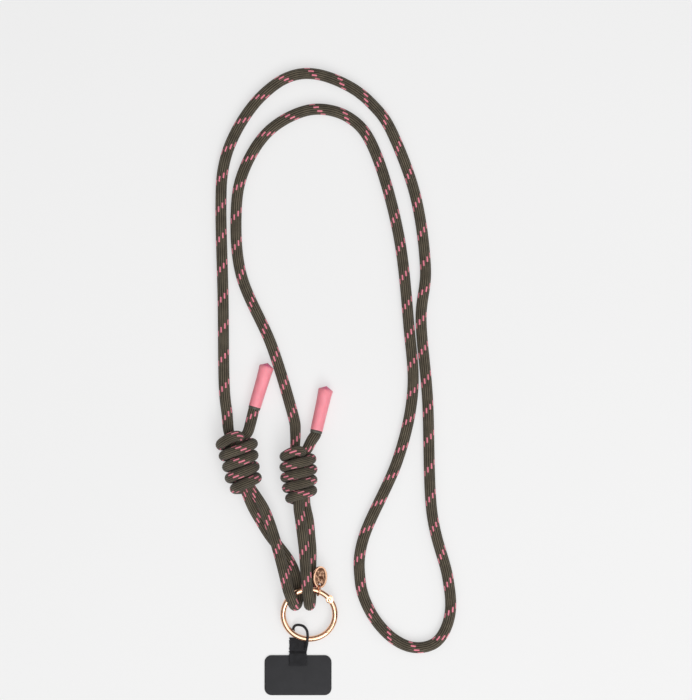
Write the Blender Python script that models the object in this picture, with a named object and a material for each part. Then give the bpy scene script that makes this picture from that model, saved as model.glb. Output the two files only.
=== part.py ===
"""Phone crossbody strap laid on a table: one braided cord tied with two barrel knots to a gate ring,
with capped tails, an oval charm and a thin tether with its tab and insert card.

Metres, +Z up, +Y along the strap. The strap rests on z = 0, and its box is centred on x = y = 0.
"""

import math

import bmesh
import bpy
from mathutils import Matrix, Vector

MM = 0.001
GAP = 0.3 * MM

# The braided cord
CORD_DIAMETER = 6.3 * MM
CORD_RADIUS = CORD_DIAMETER / 2
CORD_STEPS = 3
FINE_STEPS = 2
STATION_TURN = math.radians(17.0)
STATION_STEP = 2.9 * CORD_DIAMETER
SQUEEZE_STEP = 0.09

# The two barrel knots: where each starts, how far it leans and how tightly its turns are squeezed
KNOT_TURNS = 4
KNOT_STEPS = 14
KNOT_DEPTH = 1.10 * CORD_DIAMETER
KNOT_HEIGHT = 1.58 * CORD_DIAMETER
KNOT_CORE = 0.48
LEFT_KNOT = {
    "top": (-56.2 * MM, -31.2 * MM),
    "lean": math.radians(9.8),
    "squeeze": 0.93,
    "pitch": 1.02 * CORD_DIAMETER,
    "first": 0.41 * CORD_DIAMETER,
    "front_drop": 0.14 * CORD_DIAMETER,
    "turns": ((1.45, 0.0), (1.35, 0.0), (1.22, 0.0), (1.18, 0.02), (1.06, 0.19)),
    "last_turn": 4.25,
    "strands": {"standing": (-0.34, -0.18), "bight": (0.0, 0.30), "tail": (0.33, -0.17)},
    "exits": {"standing": (-0.10, 0.02), "bight": (0.45, 0.23)},
    "tuck": ((0.46, 0.30, -0.82, 0.75), (0.56, 0.22, -0.58, 0.60), (0.36, -0.16, -0.35, 0.48)),
}
RIGHT_KNOT = {
    "top": (-21.5 * MM, -39.5 * MM),
    "lean": math.radians(3.6),
    "squeeze": 0.87,
    "pitch": 0.94 * CORD_DIAMETER,
    "first": 0.30 * CORD_DIAMETER,
    "front_drop": 0.12 * CORD_DIAMETER,
    "turns": ((1.20, 0.0), (1.27, 0.0), (1.26, 0.0), (1.16, 0.0), (1.02, 0.08)),
    "last_turn": 4.08,
    "strands": {"standing": (-0.32, 0.06), "bight": (0.27, 0.21), "tail": (0.04, -0.365)},
    "exits": {"standing": (-0.10, 0.20), "bight": (0.46, -0.10)},
    "tuck": ((-0.52, 0.30, -0.80, 0.70), (-0.34, 0.27, -0.74, 0.60), (-0.19, -0.10, -0.38, 0.50)),
}

# Sleeves on the two tails
CAP_LENGTH = 25.0 * MM
CAP_MOUTH_RADIUS = 3.5 * MM
CAP_END_RADIUS = 3.85 * MM
CAP_BORE_RADIUS = 2.7 * MM
CAP_BORE_DEPTH = 9.0 * MM
CAP_RIDGE = 3.2 * MM
# Steps of the pinched end: rise as a share of the ridge, then width and thickness against the last step
CAP_PINCH = ((0.35, 1.0, 0.90), (0.35, 0.98, 0.72), (0.30, 0.90, 0.35))

# The gate ring, tilted so that its far side rests on the legs
RING_OUTER = 32.5 * MM
RING_WIRE = 3.2 * MM
RING_TILT = math.radians(14.0)
RING_PLACE = (-15.0 * MM, -131.1 * MM)
HINGE_ANGLE = math.radians(38.0)
LAP_START = math.radians(-18.0)
LAP_END = math.radians(-45.0)
CUT_PAST = math.radians(11.0)
CHEEK_RADIUS = 2.0 * MM
TONGUE = 1.2 * MM
PIN_RADIUS = 0.6 * MM
RING_STEPS = 56
RING_SIDES = 12
SWING_SIDES = 128

# The oval charm and the jump ring that holds it
CHARM_LENGTH = 12.4 * MM
CHARM_WIDTH = 8.6 * MM
CHARM_THICKNESS = 1.6 * MM
CHARM_RIM = 0.8 * MM
CHARM_RECESS = 0.35 * MM
CHARM_HOLE_RADIUS = 1.05 * MM
CHARM_HOLE_INSET = 1.7 * MM
CHARM_ROLL = math.radians(30.0)
CHARM_LEAN = math.radians(-3.0)
CHARM_ANGLE = math.radians(68.5)
JUMP_MEAN_RADIUS = 2.95 * MM
JUMP_WIRE = 0.9 * MM
JUMP_ROLL = math.radians(12.0)
JUMP_WAY = (0.16, 0.98, 0.08)

# The phone tether
TETHER_DIAMETER = 1.5 * MM
TAB_WIDTH = 10.0 * MM
TAB_THICKNESS = 1.0 * MM
TAB_LENGTH = 16.0 * MM
TAB_PLACE_X = -21.3 * MM
CARD_WIDTH = 38.0 * MM
CARD_LENGTH = 22.7 * MM
CARD_THICKNESS = 1.0 * MM
CARD_CORNER = 4.0 * MM
CARD_OVERLAP = 6.0 * MM
TAB_UNDER_RING = 0.65 * MM
TAB_STEP_LENGTH = 1.6 * MM
TAB_STEP_CLEAR = 0.9 * MM

# Route of the free cord from the left knot, twice along the strap, to the right knot.
# Columns in millimetres: x, y, height of the centre line.
STRAP_ROUTE = [
    (-60.3, -27.8, 7.3),
    (-61.3, -18.5, 4.9),
    (-63.1, 0.0, 3.3),
    (-63.7, 48.0, 3.15),
    (-64.9, 99.0, 3.15),
    (-63.2, 123.0, 3.15),
    (-56.0, 142.5, 3.15),
    (-43.5, 160.4, 3.15),
    (-28.0, 172.2, 3.15),
    (-12.0, 174.6, 3.15),
    (6.5, 168.2, 3.15),
    (20.6, 157.5, 3.15),
    (32.0, 141.4, 3.15),
    (45.3, 105.1, 3.15),
    (50.9, 64.8, 3.15),
    (48.4, 35.0, 3.15),
    (52.1, -10.0, 3.15),
    (54.4, -72.4, 3.15),
    (63.4, -110.0, 3.15),
    (64.7, -131.5, 3.15),
    (57.6, -146.5, 3.15),
    (44.5, -150.1, 3.15),
    (31.2, -143.9, 3.15),
    (19.8, -130.0, 3.15),
    (13.9, -112.0, 3.15),
    (16.0, -87.6, 3.15),
    (35.1, -44.1, 3.15),
    (43.6, -6.0, 3.15),
    (41.6, 31.0, 3.15),
    (35.7, 83.5, 3.15),
    (22.6, 130.0, 3.15),
    (8.5, 149.3, 3.15),
    (-13.5, 154.4, 3.15),
    (-36.5, 143.4, 3.15),
    (-51.0, 122.2, 3.15),
    (-56.2, 98.0, 3.15),
    (-53.4, 60.8, 3.15),
    (-36.3, 21.1, 3.3),
    (-24.5, -17.0, 4.0),
    (-22.7, -28.6, 6.8),
]

# Each leg runs out of its knot, over the ring wire, back under it and into the knot again.
# Columns in millimetres: x, y, height of the centre line.
LEFT_LEG_ROUTE = [
    (-41.1, -69.6, 11.6),
    (-37.6, -78.2, 11.5),
    (-34.8, -86.6, 11.3),
    (-32.5, -94.2, 11.6),
    (-30.6, -101.0, 12.5),
    (-28.7, -108.4, 13.9),
    (-26.6, -116.8, 14.7),
    (-24.6, -122.4, 14.1),
    (-23.0, -125.7, 10.4),
    (-21.5, -124.0, 6.0),
    (-21.6, -117.4, 4.0),
    (-23.1, -108.0, 4.2),
    (-26.4, -100.8, 4.0),
    (-31.3, -94.0, 4.1),
    (-37.2, -86.6, 4.6),
    (-42.3, -78.2, 6.0),
    (-47.4, -69.4, 7.6),
]
RIGHT_LEG_ROUTE = [
    (-20.9, -69.7, 11.4),
    (-19.6, -78.1, 11.0),
    (-18.5, -86.6, 11.4),
    (-17.5, -95.1, 12.4),
    (-16.8, -105.3, 14.2),
    (-15.8, -116.6, 15.2),
    (-15.2, -121.6, 14.6),
    (-14.7, -125.6, 11.0),
    (-14.1, -122.9, 6.6),
    (-14.0, -116.6, 4.4),
    (-14.0, -105.3, 4.2),
    (-13.9, -95.1, 4.6),
    (-14.6, -86.6, 5.0),
    (-15.4, -78.1, 5.7),
    (-16.9, -69.9, 6.6),
]

# Each tail runs out of its knot and into its cap, with the cap's far end as the last row.
# Columns in millimetres: x, y, height of the centre line.
LEFT_TAIL_ROUTE = [
    (-49.7, -28.4, 9.0),
    (-47.9, -22.5, 7.4),
    (-45.7, -13.8, 5.6),
]
LEFT_CAP_END = (-38.8, 9.4, 5.4)
RIGHT_TAIL_ROUTE = [
    (-16.0, -37.6, 9.2),
    (-13.5, -32.8, 8.2),
    (-10.8, -27.2, 6.4),
]
RIGHT_CAP_END = (-5.5, -3.9, 4.6)

# The tether's thin cord goes under the ring wire, up through the ring and back over the wire.
# Columns in millimetres: x from the tab's middle, y from the near side of the ring wire, height.
TETHER_ROUTE = [
    (-1.9, 2.2, 0.8),
    (-2.5, 4.0, 0.8),
    (-2.6, 6.0, 1.2),
    (-1.6, 7.5, 2.1),
    (0.4, 8.0, 3.2),
    (3.2, 7.3, 4.4),
    (5.0, 5.1, 5.5),
    (5.5, 2.3, 6.2),
    (5.4, -0.1, 6.0),
    (5.1, -2.9, 4.3),
    (4.7, -4.7, 2.4),
    (4.5, -6.3, 2.1),
]


def clear_scene():
    for old in list(bpy.data.objects):
        bpy.data.objects.remove(old)


def make_material(name, colour, roughness, metallic=0.0):
    material = bpy.data.materials.new(name)
    material.use_nodes = True
    shader = material.node_tree.nodes["Principled BSDF"]
    shader.inputs["Base Color"].default_value = (*colour, 1.0)
    shader.inputs["Roughness"].default_value = roughness
    shader.inputs["Metallic"].default_value = metallic
    return material


def route_points(rows):
    """Rows of millimetres as points, each with a full share of the cord's thickness."""
    return [Vector((x * MM, y * MM, z * MM, 1.0)) for x, y, z in rows]


def curve_point(before, start, end, after, share):
    """A point of the smooth curve from start to end that also heeds the points on either side."""
    square = share * share
    cube = square * share
    return 0.5 * (
        2.0 * start
        + (end - before) * share
        + (2.0 * before - 5.0 * start + 4.0 * end - after) * square
        + (3.0 * start - before - 3.0 * end + after) * cube
    )


def smooth(points, fine=10):
    """The smooth curve through the points, in small steps."""
    padded = [2.0 * points[0] - points[1], *points, 2.0 * points[-1] - points[-2]]
    curve = []
    for i in range(1, len(padded) - 2):
        for k in range(fine):
            curve.append(curve_point(*padded[i - 1 : i + 3], k / fine))
    curve.append(points[-1].copy())
    return curve


def stations(curve, turn=STATION_TURN, longest=STATION_STEP):
    """Keeps a point of the curve wherever it has bent by turn, run for longest or been squeezed."""
    kept = [curve[0]]
    bent = 0.0
    for before, point, after in zip(curve, curve[1:], curve[2:]):
        coming = (point - before).xyz
        leaving = (after - point).xyz
        bent += coming.angle(leaving, 0.0)
        run = (point - kept[-1]).xyz.length
        squeezed = abs(point.w - kept[-1].w) > SQUEEZE_STEP
        if (bent > turn and run > 0.25 * CORD_DIAMETER) or run > longest or squeezed:
            kept.append(point)
            bent = 0.0
    kept.append(curve[-1])
    return kept


def tube(name, points, radius, material, steps=CORD_STEPS):
    """A round tube with filled ends. The fourth number of each point is its share of the radius."""
    data = bpy.data.curves.new(name, "CURVE")
    data.dimensions = "3D"
    data.bevel_depth = radius
    data.bevel_resolution = steps
    data.use_fill_caps = True
    spline = data.splines.new("POLY")
    spline.points.add(len(points) - 1)
    for slot, point in zip(spline.points, points):
        slot.co = (*point.xyz, 1.0)
        slot.radius = point.w
    spline.use_smooth = True
    data.materials.append(material)
    obj = bpy.data.objects.new(name, data)
    bpy.context.collection.objects.link(obj)
    return obj


def mesh_object(name, mesh_builder, material=None, smooth_angle=None):
    """Turns a bmesh into a named object."""
    bmesh.ops.recalc_face_normals(mesh_builder, faces=mesh_builder.faces)
    mesh = bpy.data.meshes.new(name)
    mesh_builder.to_mesh(mesh)
    mesh_builder.free()
    if smooth_angle is not None:
        mesh.shade_smooth()
        mesh.set_sharp_from_angle(angle=smooth_angle)
    obj = bpy.data.objects.new(name, mesh)
    bpy.context.collection.objects.link(obj)
    if material:
        mesh.materials.append(material)
    return obj


def boolean(obj, operation, other):
    """Joins or cuts obj with a helper that doesn't show."""
    other.hide_render = True
    other.display_type = "WIRE"
    modifier = obj.modifiers.new(other.name, "BOOLEAN")
    modifier.operation = operation
    modifier.object = other


def cylinder(name, radius, length, segments=20):
    builder = bmesh.new()
    bmesh.ops.create_cone(
        builder, cap_ends=True, segments=segments, radius1=radius, radius2=radius, depth=length
    )
    return mesh_object(name, builder)


def knot_point(knot, lateral, along, depth, share):
    """A point in the knot's own directions: to the right, down its axis and up from its middle."""
    down = Vector((math.sin(knot["lean"]), -math.cos(knot["lean"])))
    right = Vector((math.cos(knot["lean"]), math.sin(knot["lean"])))
    place = Vector(knot["top"]) + right * lateral + down * along
    return Vector((place.x, place.y, KNOT_HEIGHT + depth, share))


def core_point(knot, strand, along, share=KNOT_CORE):
    """A point of one of the three strands squeezed together inside the turns."""
    lateral, depth = knot["strands"][strand]
    return knot_point(knot, lateral * CORD_DIAMETER, along, depth * CORD_DIAMETER, share)


def knot_length(knot):
    return knot["first"] + KNOT_TURNS * knot["pitch"]


def middle(knot):
    """How far down the axis the strands inside the knot meet end to end."""
    return 0.5 * knot_length(knot)


def turn_size(knot, turn):
    """The winding's half width and its middle's shift to the right, read from the knot's turns."""
    rows = knot["turns"]
    low = min(int(turn), len(rows) - 2)
    share = turn - low
    return [CORD_DIAMETER * (a * (1.0 - share) + b * share) for a, b in zip(rows[low], rows[low + 1])]


def turn_point(knot, turn):
    """A point of the winding: whole turns lie at the left side, half turns at the right."""
    angle = math.pi + 2.0 * math.pi * turn
    drop = knot["front_drop"] * (1.0 + math.cos(angle)) / 2.0
    along = knot["first"] + knot["pitch"] * turn - drop
    half_width, shift = turn_size(knot, turn)
    lateral = shift + half_width * math.cos(angle)
    return knot_point(knot, lateral, along, KNOT_DEPTH * math.sin(angle), knot["squeeze"])


def make_knot(name, knot, material):
    """The bight that comes up out of the core, the turns round it and the end tucked in below."""
    squeeze = knot["squeeze"]
    d = CORD_DIAMETER
    start = middle(knot) - GAP / 2
    first_half = turn_size(knot, 0)[0]
    bight = [
        core_point(knot, "bight", start),
        core_point(knot, "bight", 0.55 * start),
        knot_point(knot, 0.22 * d, 0.35 * d, 0.42 * d, 0.58),
        knot_point(knot, 0.36 * d, -0.22 * d, 0.66 * d, 0.80),
        knot_point(knot, 0.08 * d, -0.46 * d, 0.98 * d, squeeze),
        knot_point(knot, -0.58 * d, -0.24 * d, 1.08 * d, squeeze),
        knot_point(knot, -0.87 * first_half, 0.55 * knot["first"], 0.62 * d, squeeze),
    ]
    count = int(knot["last_turn"] * KNOT_STEPS)
    turns = [turn_point(knot, k / KNOT_STEPS) for k in range(count + 1)]
    end = knot_length(knot)
    tuck = []
    for lateral, beyond, depth, share in knot["tuck"]:
        tuck.append(knot_point(knot, lateral * d, end + beyond * d, depth * d, share))
    tuck.append(core_point(knot, "tail", end - 1.35 * d))
    tuck.append(core_point(knot, "tail", middle(knot) + GAP / 2))
    tight = math.radians(14.0)
    points = stations(smooth(bight + turns[:1], 6), tight)
    points += turns[1:-1]
    points += stations(smooth(turns[-1:] + tuck, 6), tight)
    return tube(name, points, CORD_RADIUS, material, FINE_STEPS)


def into_top(knot, strand):
    """Rows that lead a cord from the knot's mouth to the middle of its core."""
    return [
        core_point(knot, strand, 0.62 * CORD_DIAMETER, 0.50),
        core_point(knot, strand, 1.30 * CORD_DIAMETER),
        core_point(knot, strand, middle(knot) - GAP / 2),
    ]


def into_bottom(knot, strand):
    """Rows that lead a cord from the knot's lower end up to the middle of its core."""
    end = knot_length(knot)
    lateral, depth = knot["exits"][strand]
    d = CORD_DIAMETER
    return [
        knot_point(knot, lateral * d, end - 0.20 * d, depth * d, 0.54),
        core_point(knot, strand, end - 1.35 * d),
        core_point(knot, strand, middle(knot) + GAP / 2),
    ]


def mouth(rows, share):
    """Route points whose first and last are squeezed to share, where the cord meets a knot."""
    points = route_points(rows)
    points[0].w = share
    points[-1].w = share
    return points


def make_strap(material):
    middle_run = mouth(STRAP_ROUTE, 0.90)
    left_end = into_top(LEFT_KNOT, "standing")
    right_end = into_top(RIGHT_KNOT, "standing")
    return tube(
        "strap_cord", stations(smooth(left_end[::-1] + middle_run + right_end)), CORD_RADIUS, material
    )


def make_leg(name, knot, rows, strands, material):
    """The upper strand, the loop over the ring and the lower strand, both squeezed into the knot."""
    run = mouth(rows, 0.82)
    upper = into_bottom(knot, strands[0])
    lower = into_bottom(knot, strands[1])
    return tube(name, stations(smooth(upper[::-1] + run + lower)), CORD_RADIUS, material)


def make_tail(name, knot, rows, cap_end, material):
    """The tail's cord, with the stretch inside the cap squeezed to fit its bore."""
    d = CORD_DIAMETER
    run = route_points(rows)
    run[0].w = 0.84
    run.insert(0, knot_point(knot, 0.56 * d, 0.10 * d, -0.12 * d, 0.52))
    far = Vector((*cap_end, 0.0)) * MM
    way = (far - run[-1]).xyz.normalized()
    seat = CAP_BORE_DEPTH - GAP
    inner = (CAP_BORE_RADIUS - GAP) / CORD_RADIUS
    mouth_point = run.pop().xyz
    run.append(Vector((*(mouth_point - way * 0.60 * CORD_DIAMETER), 1.0)))
    run.append(Vector((*(mouth_point - way * 0.12 * CORD_DIAMETER), inner)))
    run.append(Vector((*(mouth_point + way * 0.5 * seat), inner)))
    run.append(Vector((*(mouth_point + way * seat), inner)))
    return tube(name, stations(smooth(into_top(knot, "tail")[::-1] + run)), CORD_RADIUS, material)


def make_cap(name, rows, cap_end, material):
    """A sleeve with a blind bore, whose far end is pinched to a low roof."""
    start = Vector(rows[-1]) * MM
    way = (Vector(cap_end) * MM - start).normalized()
    builder = bmesh.new()
    segments = 20
    made = bmesh.ops.create_circle(builder, cap_ends=True, segments=segments, radius=CAP_MOUTH_RADIUS)
    face = made["verts"][0].link_faces[0]
    grow = CAP_END_RADIUS / CAP_MOUTH_RADIUS
    steps = [(CAP_LENGTH - CAP_RIDGE, grow, grow)]
    steps += [(share * CAP_RIDGE, wide, thin) for share, wide, thin in CAP_PINCH]
    for rise, wide, thin in steps:
        face = bmesh.ops.extrude_discrete_faces(builder, faces=[face])["faces"][0]
        bmesh.ops.translate(builder, verts=face.verts, vec=(0.0, 0.0, rise))
        bmesh.ops.scale(builder, verts=face.verts, vec=(wide, thin, 1.0))
    bmesh.ops.holes_fill(builder, edges=builder.edges, sides=segments)
    cap = mesh_object(name, builder, material, math.radians(35.0))
    bore = cylinder(name + "_bore", CAP_BORE_RADIUS, 2.0 * CAP_BORE_DEPTH)
    turn = way.to_track_quat("Z", "Y").to_matrix().to_4x4()
    cap.matrix_world = Matrix.Translation(start) @ turn
    bore.matrix_world = cap.matrix_world
    boolean(cap, "DIFFERENCE", bore)
    return cap


def ring_radius():
    return (RING_OUTER - RING_WIRE) / 2


def ring_centre():
    """The ring's near side rests on the tab, and its tilt lifts the rest."""
    lowest = TAB_THICKNESS + GAP + RING_WIRE / 2
    return Vector((*RING_PLACE, lowest + ring_radius() * math.sin(RING_TILT)))


def ring_frame():
    return Matrix.Translation(ring_centre()) @ Matrix.Rotation(RING_TILT, 4, "X")


def ring_spot(angle, radius=None, rise=0.0):
    """A point given by its angle round the ring, in the ring's own plane unless it has a rise."""
    radius = ring_radius() if radius is None else radius
    return Vector((radius * math.cos(angle), radius * math.sin(angle), rise))


def ring_sector(name, first, last, material=None):
    """A stretch of the ring's wire, closed at both ends, in the ring's own frame."""
    builder = bmesh.new()
    made = bmesh.ops.create_circle(
        builder, cap_ends=True, segments=RING_SIDES, radius=RING_WIRE / 2
    )
    upright = Matrix.Rotation(math.pi / 2, 4, "X")
    bmesh.ops.transform(builder, matrix=upright, verts=made["verts"])
    bmesh.ops.translate(builder, verts=made["verts"], vec=(ring_radius(), 0.0, 0.0))
    turned = Matrix.Rotation(first, 4, "Z")
    bmesh.ops.transform(builder, matrix=turned, verts=builder.verts)
    steps = max(4, round(RING_STEPS * (last - first) / (2 * math.pi)))
    start = list(builder.faces)
    bmesh.ops.spin(
        builder,
        geom=start,
        cent=(0.0, 0.0, 0.0),
        axis=(0.0, 0.0, 1.0),
        angle=last - first,
        steps=steps,
        use_duplicate=False,
    )
    bmesh.ops.holes_fill(builder, edges=builder.edges, sides=RING_SIDES)
    return mesh_object(name, builder, material, math.radians(40.0))


def flat_sector(name, inner, outer, first, last):
    """A thick flat stretch of an annulus, used to cut the lap joint at the catch."""
    builder = bmesh.new()
    height = 2.0 * RING_WIRE
    corners = [(inner, -height), (outer, -height), (outer, height), (inner, height)]
    verts = []
    for radius, rise in corners:
        verts.append(builder.verts.new(ring_spot(first, radius, rise)))
    face = builder.faces.new(verts)
    bmesh.ops.spin(
        builder,
        geom=[face],
        cent=(0.0, 0.0, 0.0),
        axis=(0.0, 0.0, 1.0),
        angle=last - first,
        steps=8,
        use_duplicate=False,
    )
    bmesh.ops.holes_fill(builder, edges=builder.edges, sides=4)
    return mesh_object(name, builder)


def at_hinge(obj, rise=0.0):
    """Puts a helper on the hinge pin's axis, in the ring's own frame."""
    obj.location = ring_spot(HINGE_ANGLE, rise=rise)
    return obj


def hinge_reach(angle):
    """How far the ring's wire at this angle is from the hinge."""
    return (ring_spot(angle) - ring_spot(HINGE_ANGLE)).length


def lap_cutter(name, inner, outer, first, last, operation, reach):
    """A flat sector whose end is round about the hinge, so that the gate swings past it."""
    cutter = flat_sector(name, inner, outer, first, last)
    swing = at_hinge(cylinder(name + "_swing", reach, 6 * RING_WIRE, SWING_SIDES))
    boolean(cutter, operation, swing)
    return [cutter, swing]


def make_ring_body(material):
    """The fixed part of the ring: a forked end at the hinge and the outer half of the lap joint."""
    body = ring_sector("ring_body", HINGE_ANGLE, LAP_START + CUT_PAST + 2 * math.pi, material)
    cheeks = at_hinge(cylinder("cheeks", CHEEK_RADIUS, RING_WIRE, 24))
    slot = at_hinge(cylinder("cheek_slot", CHEEK_RADIUS + GAP, TONGUE + 2 * GAP, 28))
    bore = at_hinge(cylinder("cheek_bore", PIN_RADIUS + GAP / 2, 3 * RING_WIRE, 16))
    split = ring_radius() + GAP / 2
    past = LAP_START + 2 * CUT_PAST
    lap = lap_cutter(
        "lap_inside", split - RING_WIRE, split, LAP_END - CUT_PAST, past, "INTERSECT",
        hinge_reach(LAP_END) + GAP,
    )
    end = lap_cutter(
        "body_end", split - RING_WIRE, split + RING_WIRE, LAP_START - CUT_PAST, past, "INTERSECT",
        hinge_reach(LAP_START) + GAP,
    )
    boolean(body, "UNION", cheeks)
    boolean(body, "DIFFERENCE", slot)
    boolean(body, "DIFFERENCE", bore)
    boolean(body, "DIFFERENCE", lap[0])
    boolean(body, "DIFFERENCE", end[0])
    return [body, cheeks, slot, bore, *lap, *end]


def make_gate(material):
    """The swinging part: a tongue on the pin, the wire and the inner half of the lap joint."""
    gate = ring_sector("ring_gate", LAP_END - CUT_PAST, HINGE_ANGLE, material)
    upper = at_hinge(
        cylinder("upper_cheek_room", CHEEK_RADIUS + GAP, RING_WIRE, 24), TONGUE / 2 + RING_WIRE / 2
    )
    lower = at_hinge(
        cylinder("lower_cheek_room", CHEEK_RADIUS + GAP, RING_WIRE, 24), -TONGUE / 2 - RING_WIRE / 2
    )
    tongue = at_hinge(cylinder("tongue", CHEEK_RADIUS - GAP / 2, TONGUE * 0.96, 22))
    bore = at_hinge(cylinder("tongue_bore", PIN_RADIUS + GAP / 2, 3 * RING_WIRE, 16))
    split = ring_radius() - GAP / 2
    tip = at_hinge(cylinder("gate_tip", hinge_reach(LAP_END), 6 * RING_WIRE, SWING_SIDES))
    lap = lap_cutter(
        "lap_outside", split, split + RING_WIRE, LAP_END - 2 * CUT_PAST, LAP_START + CUT_PAST,
        "DIFFERENCE", hinge_reach(LAP_START),
    )
    boolean(gate, "DIFFERENCE", upper)
    boolean(gate, "DIFFERENCE", lower)
    boolean(gate, "UNION", tongue)
    boolean(gate, "DIFFERENCE", bore)
    boolean(gate, "DIFFERENCE", lap[0])
    boolean(gate, "INTERSECT", tip)
    return [gate, upper, lower, tongue, bore, tip, *lap]


def make_ring(material):
    """The ring body, the gate and the pin, built flat and then tilted together."""
    frame = bpy.data.objects.new("ring_frame", None)
    bpy.context.collection.objects.link(frame)
    frame.matrix_world = ring_frame()
    pin = at_hinge(cylinder("gate_pin", PIN_RADIUS, RING_WIRE + 2 * GAP, 14))
    pin.data.materials.append(material)
    pieces = [*make_ring_body(material), *make_gate(material), pin]
    for piece in pieces:
        piece.parent = frame


def jump_direction():
    """From the ring's wire towards the charm's hole."""
    return Vector(JUMP_WAY).normalized()


def wire_at_charm():
    return ring_frame() @ ring_spot(CHARM_ANGLE)


def charm_turn():
    """The charm's own directions: its length along the strap, rolled down to the right."""
    return Matrix.Rotation(CHARM_LEAN, 4, "Z") @ Matrix.Rotation(CHARM_ROLL, 4, "Y")


def make_jump_ring(material):
    """A plain wire ring round the gate ring's wire and through the charm's hole."""
    wire_gap = JUMP_MEAN_RADIUS - JUMP_WIRE / 2 - RING_WIRE / 2 - GAP
    centre = wire_at_charm() + jump_direction() * wire_gap
    side = Matrix.Rotation(JUMP_ROLL, 3, "Y") @ Vector((1.0, 0.0, 0.0))
    across = side.cross(jump_direction()).normalized()
    steps = 24
    points = []
    for k in range(steps):
        angle = 2 * math.pi * k / steps
        offset = jump_direction() * math.cos(angle) + across * math.sin(angle)
        points.append(Vector((*(centre + offset * JUMP_MEAN_RADIUS), 1.0)))
    ring = tube("jump_ring", points, JUMP_WIRE / 2, material, FINE_STEPS)
    ring.data.splines[0].use_cyclic_u = True
    ring.data.use_fill_caps = False


def make_charm(material):
    """A plain oval plate with a raised rim on both faces and a hole near its lower end."""
    builder = bmesh.new()
    made = bmesh.ops.create_circle(builder, cap_ends=True, segments=32, radius=0.5)
    bmesh.ops.scale(builder, verts=made["verts"], vec=(CHARM_WIDTH, CHARM_LENGTH, 1.0))
    bmesh.ops.translate(builder, verts=made["verts"], vec=(0.0, 0.0, -CHARM_THICKNESS / 2))
    base = builder.faces[:][0]
    made = bmesh.ops.extrude_face_region(builder, geom=[base])
    lifted = [item for item in made["geom"] if isinstance(item, bmesh.types.BMVert)]
    bmesh.ops.translate(builder, verts=lifted, vec=(0.0, 0.0, CHARM_THICKNESS))
    bmesh.ops.recalc_face_normals(builder, faces=builder.faces)
    faces = [face for face in builder.faces if abs(face.normal.z) > 0.9]
    bmesh.ops.inset_individual(
        builder, faces=faces, thickness=CHARM_RIM, depth=0.0, use_even_offset=True
    )
    bmesh.ops.inset_individual(
        builder, faces=faces, thickness=CHARM_RECESS, depth=-CHARM_RECESS, use_even_offset=True
    )
    charm = mesh_object("oval_charm", builder, material, math.radians(35.0))
    hole = cylinder("charm_hole", CHARM_HOLE_RADIUS, 4 * CHARM_THICKNESS, 16)
    hole_y = -CHARM_LENGTH / 2 + CHARM_HOLE_INSET
    reach = 2 * JUMP_MEAN_RADIUS - JUMP_WIRE / 2 - RING_WIRE / 2 - GAP
    eye = wire_at_charm() + jump_direction() * reach
    turn = charm_turn()
    centre = eye - turn.to_3x3() @ Vector((0.0, hole_y, 0.0))
    charm.matrix_world = Matrix.Translation(centre) @ turn
    hole.matrix_world = Matrix.Translation(eye) @ turn
    boolean(charm, "DIFFERENCE", hole)


def near_side_y():
    """The middle of the ring's wire at the side nearest to the tab."""
    return RING_PLACE[1] - ring_radius() * math.cos(RING_TILT)


def tab_top_y():
    """The tab reaches under the ring's near side."""
    return near_side_y() + TAB_UNDER_RING


def card_top_y():
    return tab_top_y() - TAB_LENGTH + CARD_OVERLAP


def make_tab(material):
    """A woven strip that lies on the table and steps up onto the card it is sewn to."""
    top = tab_top_y()
    step = CARD_THICKNESS + GAP
    sections = [
        (top, 0.0),
        (card_top_y() + TAB_STEP_CLEAR + TAB_STEP_LENGTH, 0.0),
        (card_top_y() + TAB_STEP_CLEAR, step),
        (top - TAB_LENGTH, step),
    ]
    builder = bmesh.new()
    rows = []
    for y, z in sections:
        row = []
        for side, rise in ((-1, 0.0), (1, 0.0), (1, TAB_THICKNESS), (-1, TAB_THICKNESS)):
            place = (TAB_PLACE_X + side * TAB_WIDTH / 2, y, z + rise)
            row.append(builder.verts.new(place))
        rows.append(row)
    edges = []
    for row in rows:
        for k in range(4):
            edges.append(builder.edges.new((row[k], row[(k + 1) % 4])))
    for k in range(len(rows) - 1):
        bmesh.ops.bridge_loops(builder, edges=edges[4 * k : 4 * k + 8])
    bmesh.ops.holes_fill(builder, edges=builder.edges, sides=4)
    return mesh_object("tether_tab", builder, material)


def make_card(material):
    """The plain card that lies between a phone and its case."""
    builder = bmesh.new()
    bmesh.ops.create_cube(builder, size=1.0)
    bmesh.ops.scale(builder, verts=builder.verts, vec=(CARD_WIDTH, CARD_LENGTH, CARD_THICKNESS))
    upright = [edge for edge in builder.edges if abs(edge.verts[0].co.z - edge.verts[1].co.z) > GAP]
    bmesh.ops.bevel(
        builder, geom=upright, offset=CARD_CORNER, segments=6, profile=0.5, affect="EDGES"
    )
    card = mesh_object("insert_card", builder, material)
    card.location = (TAB_PLACE_X, card_top_y() - CARD_LENGTH / 2, CARD_THICKNESS / 2)
    return card


def make_tether_loop(material):
    place = Vector((TAB_PLACE_X, near_side_y(), 0.0, 0.0))
    run = [place + point for point in route_points(TETHER_ROUTE)]
    points = stations(smooth(run, 6), math.radians(20.0), 3 * TETHER_DIAMETER)
    return tube("tether_loop", points, TETHER_DIAMETER / 2, material, FINE_STEPS)


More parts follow.
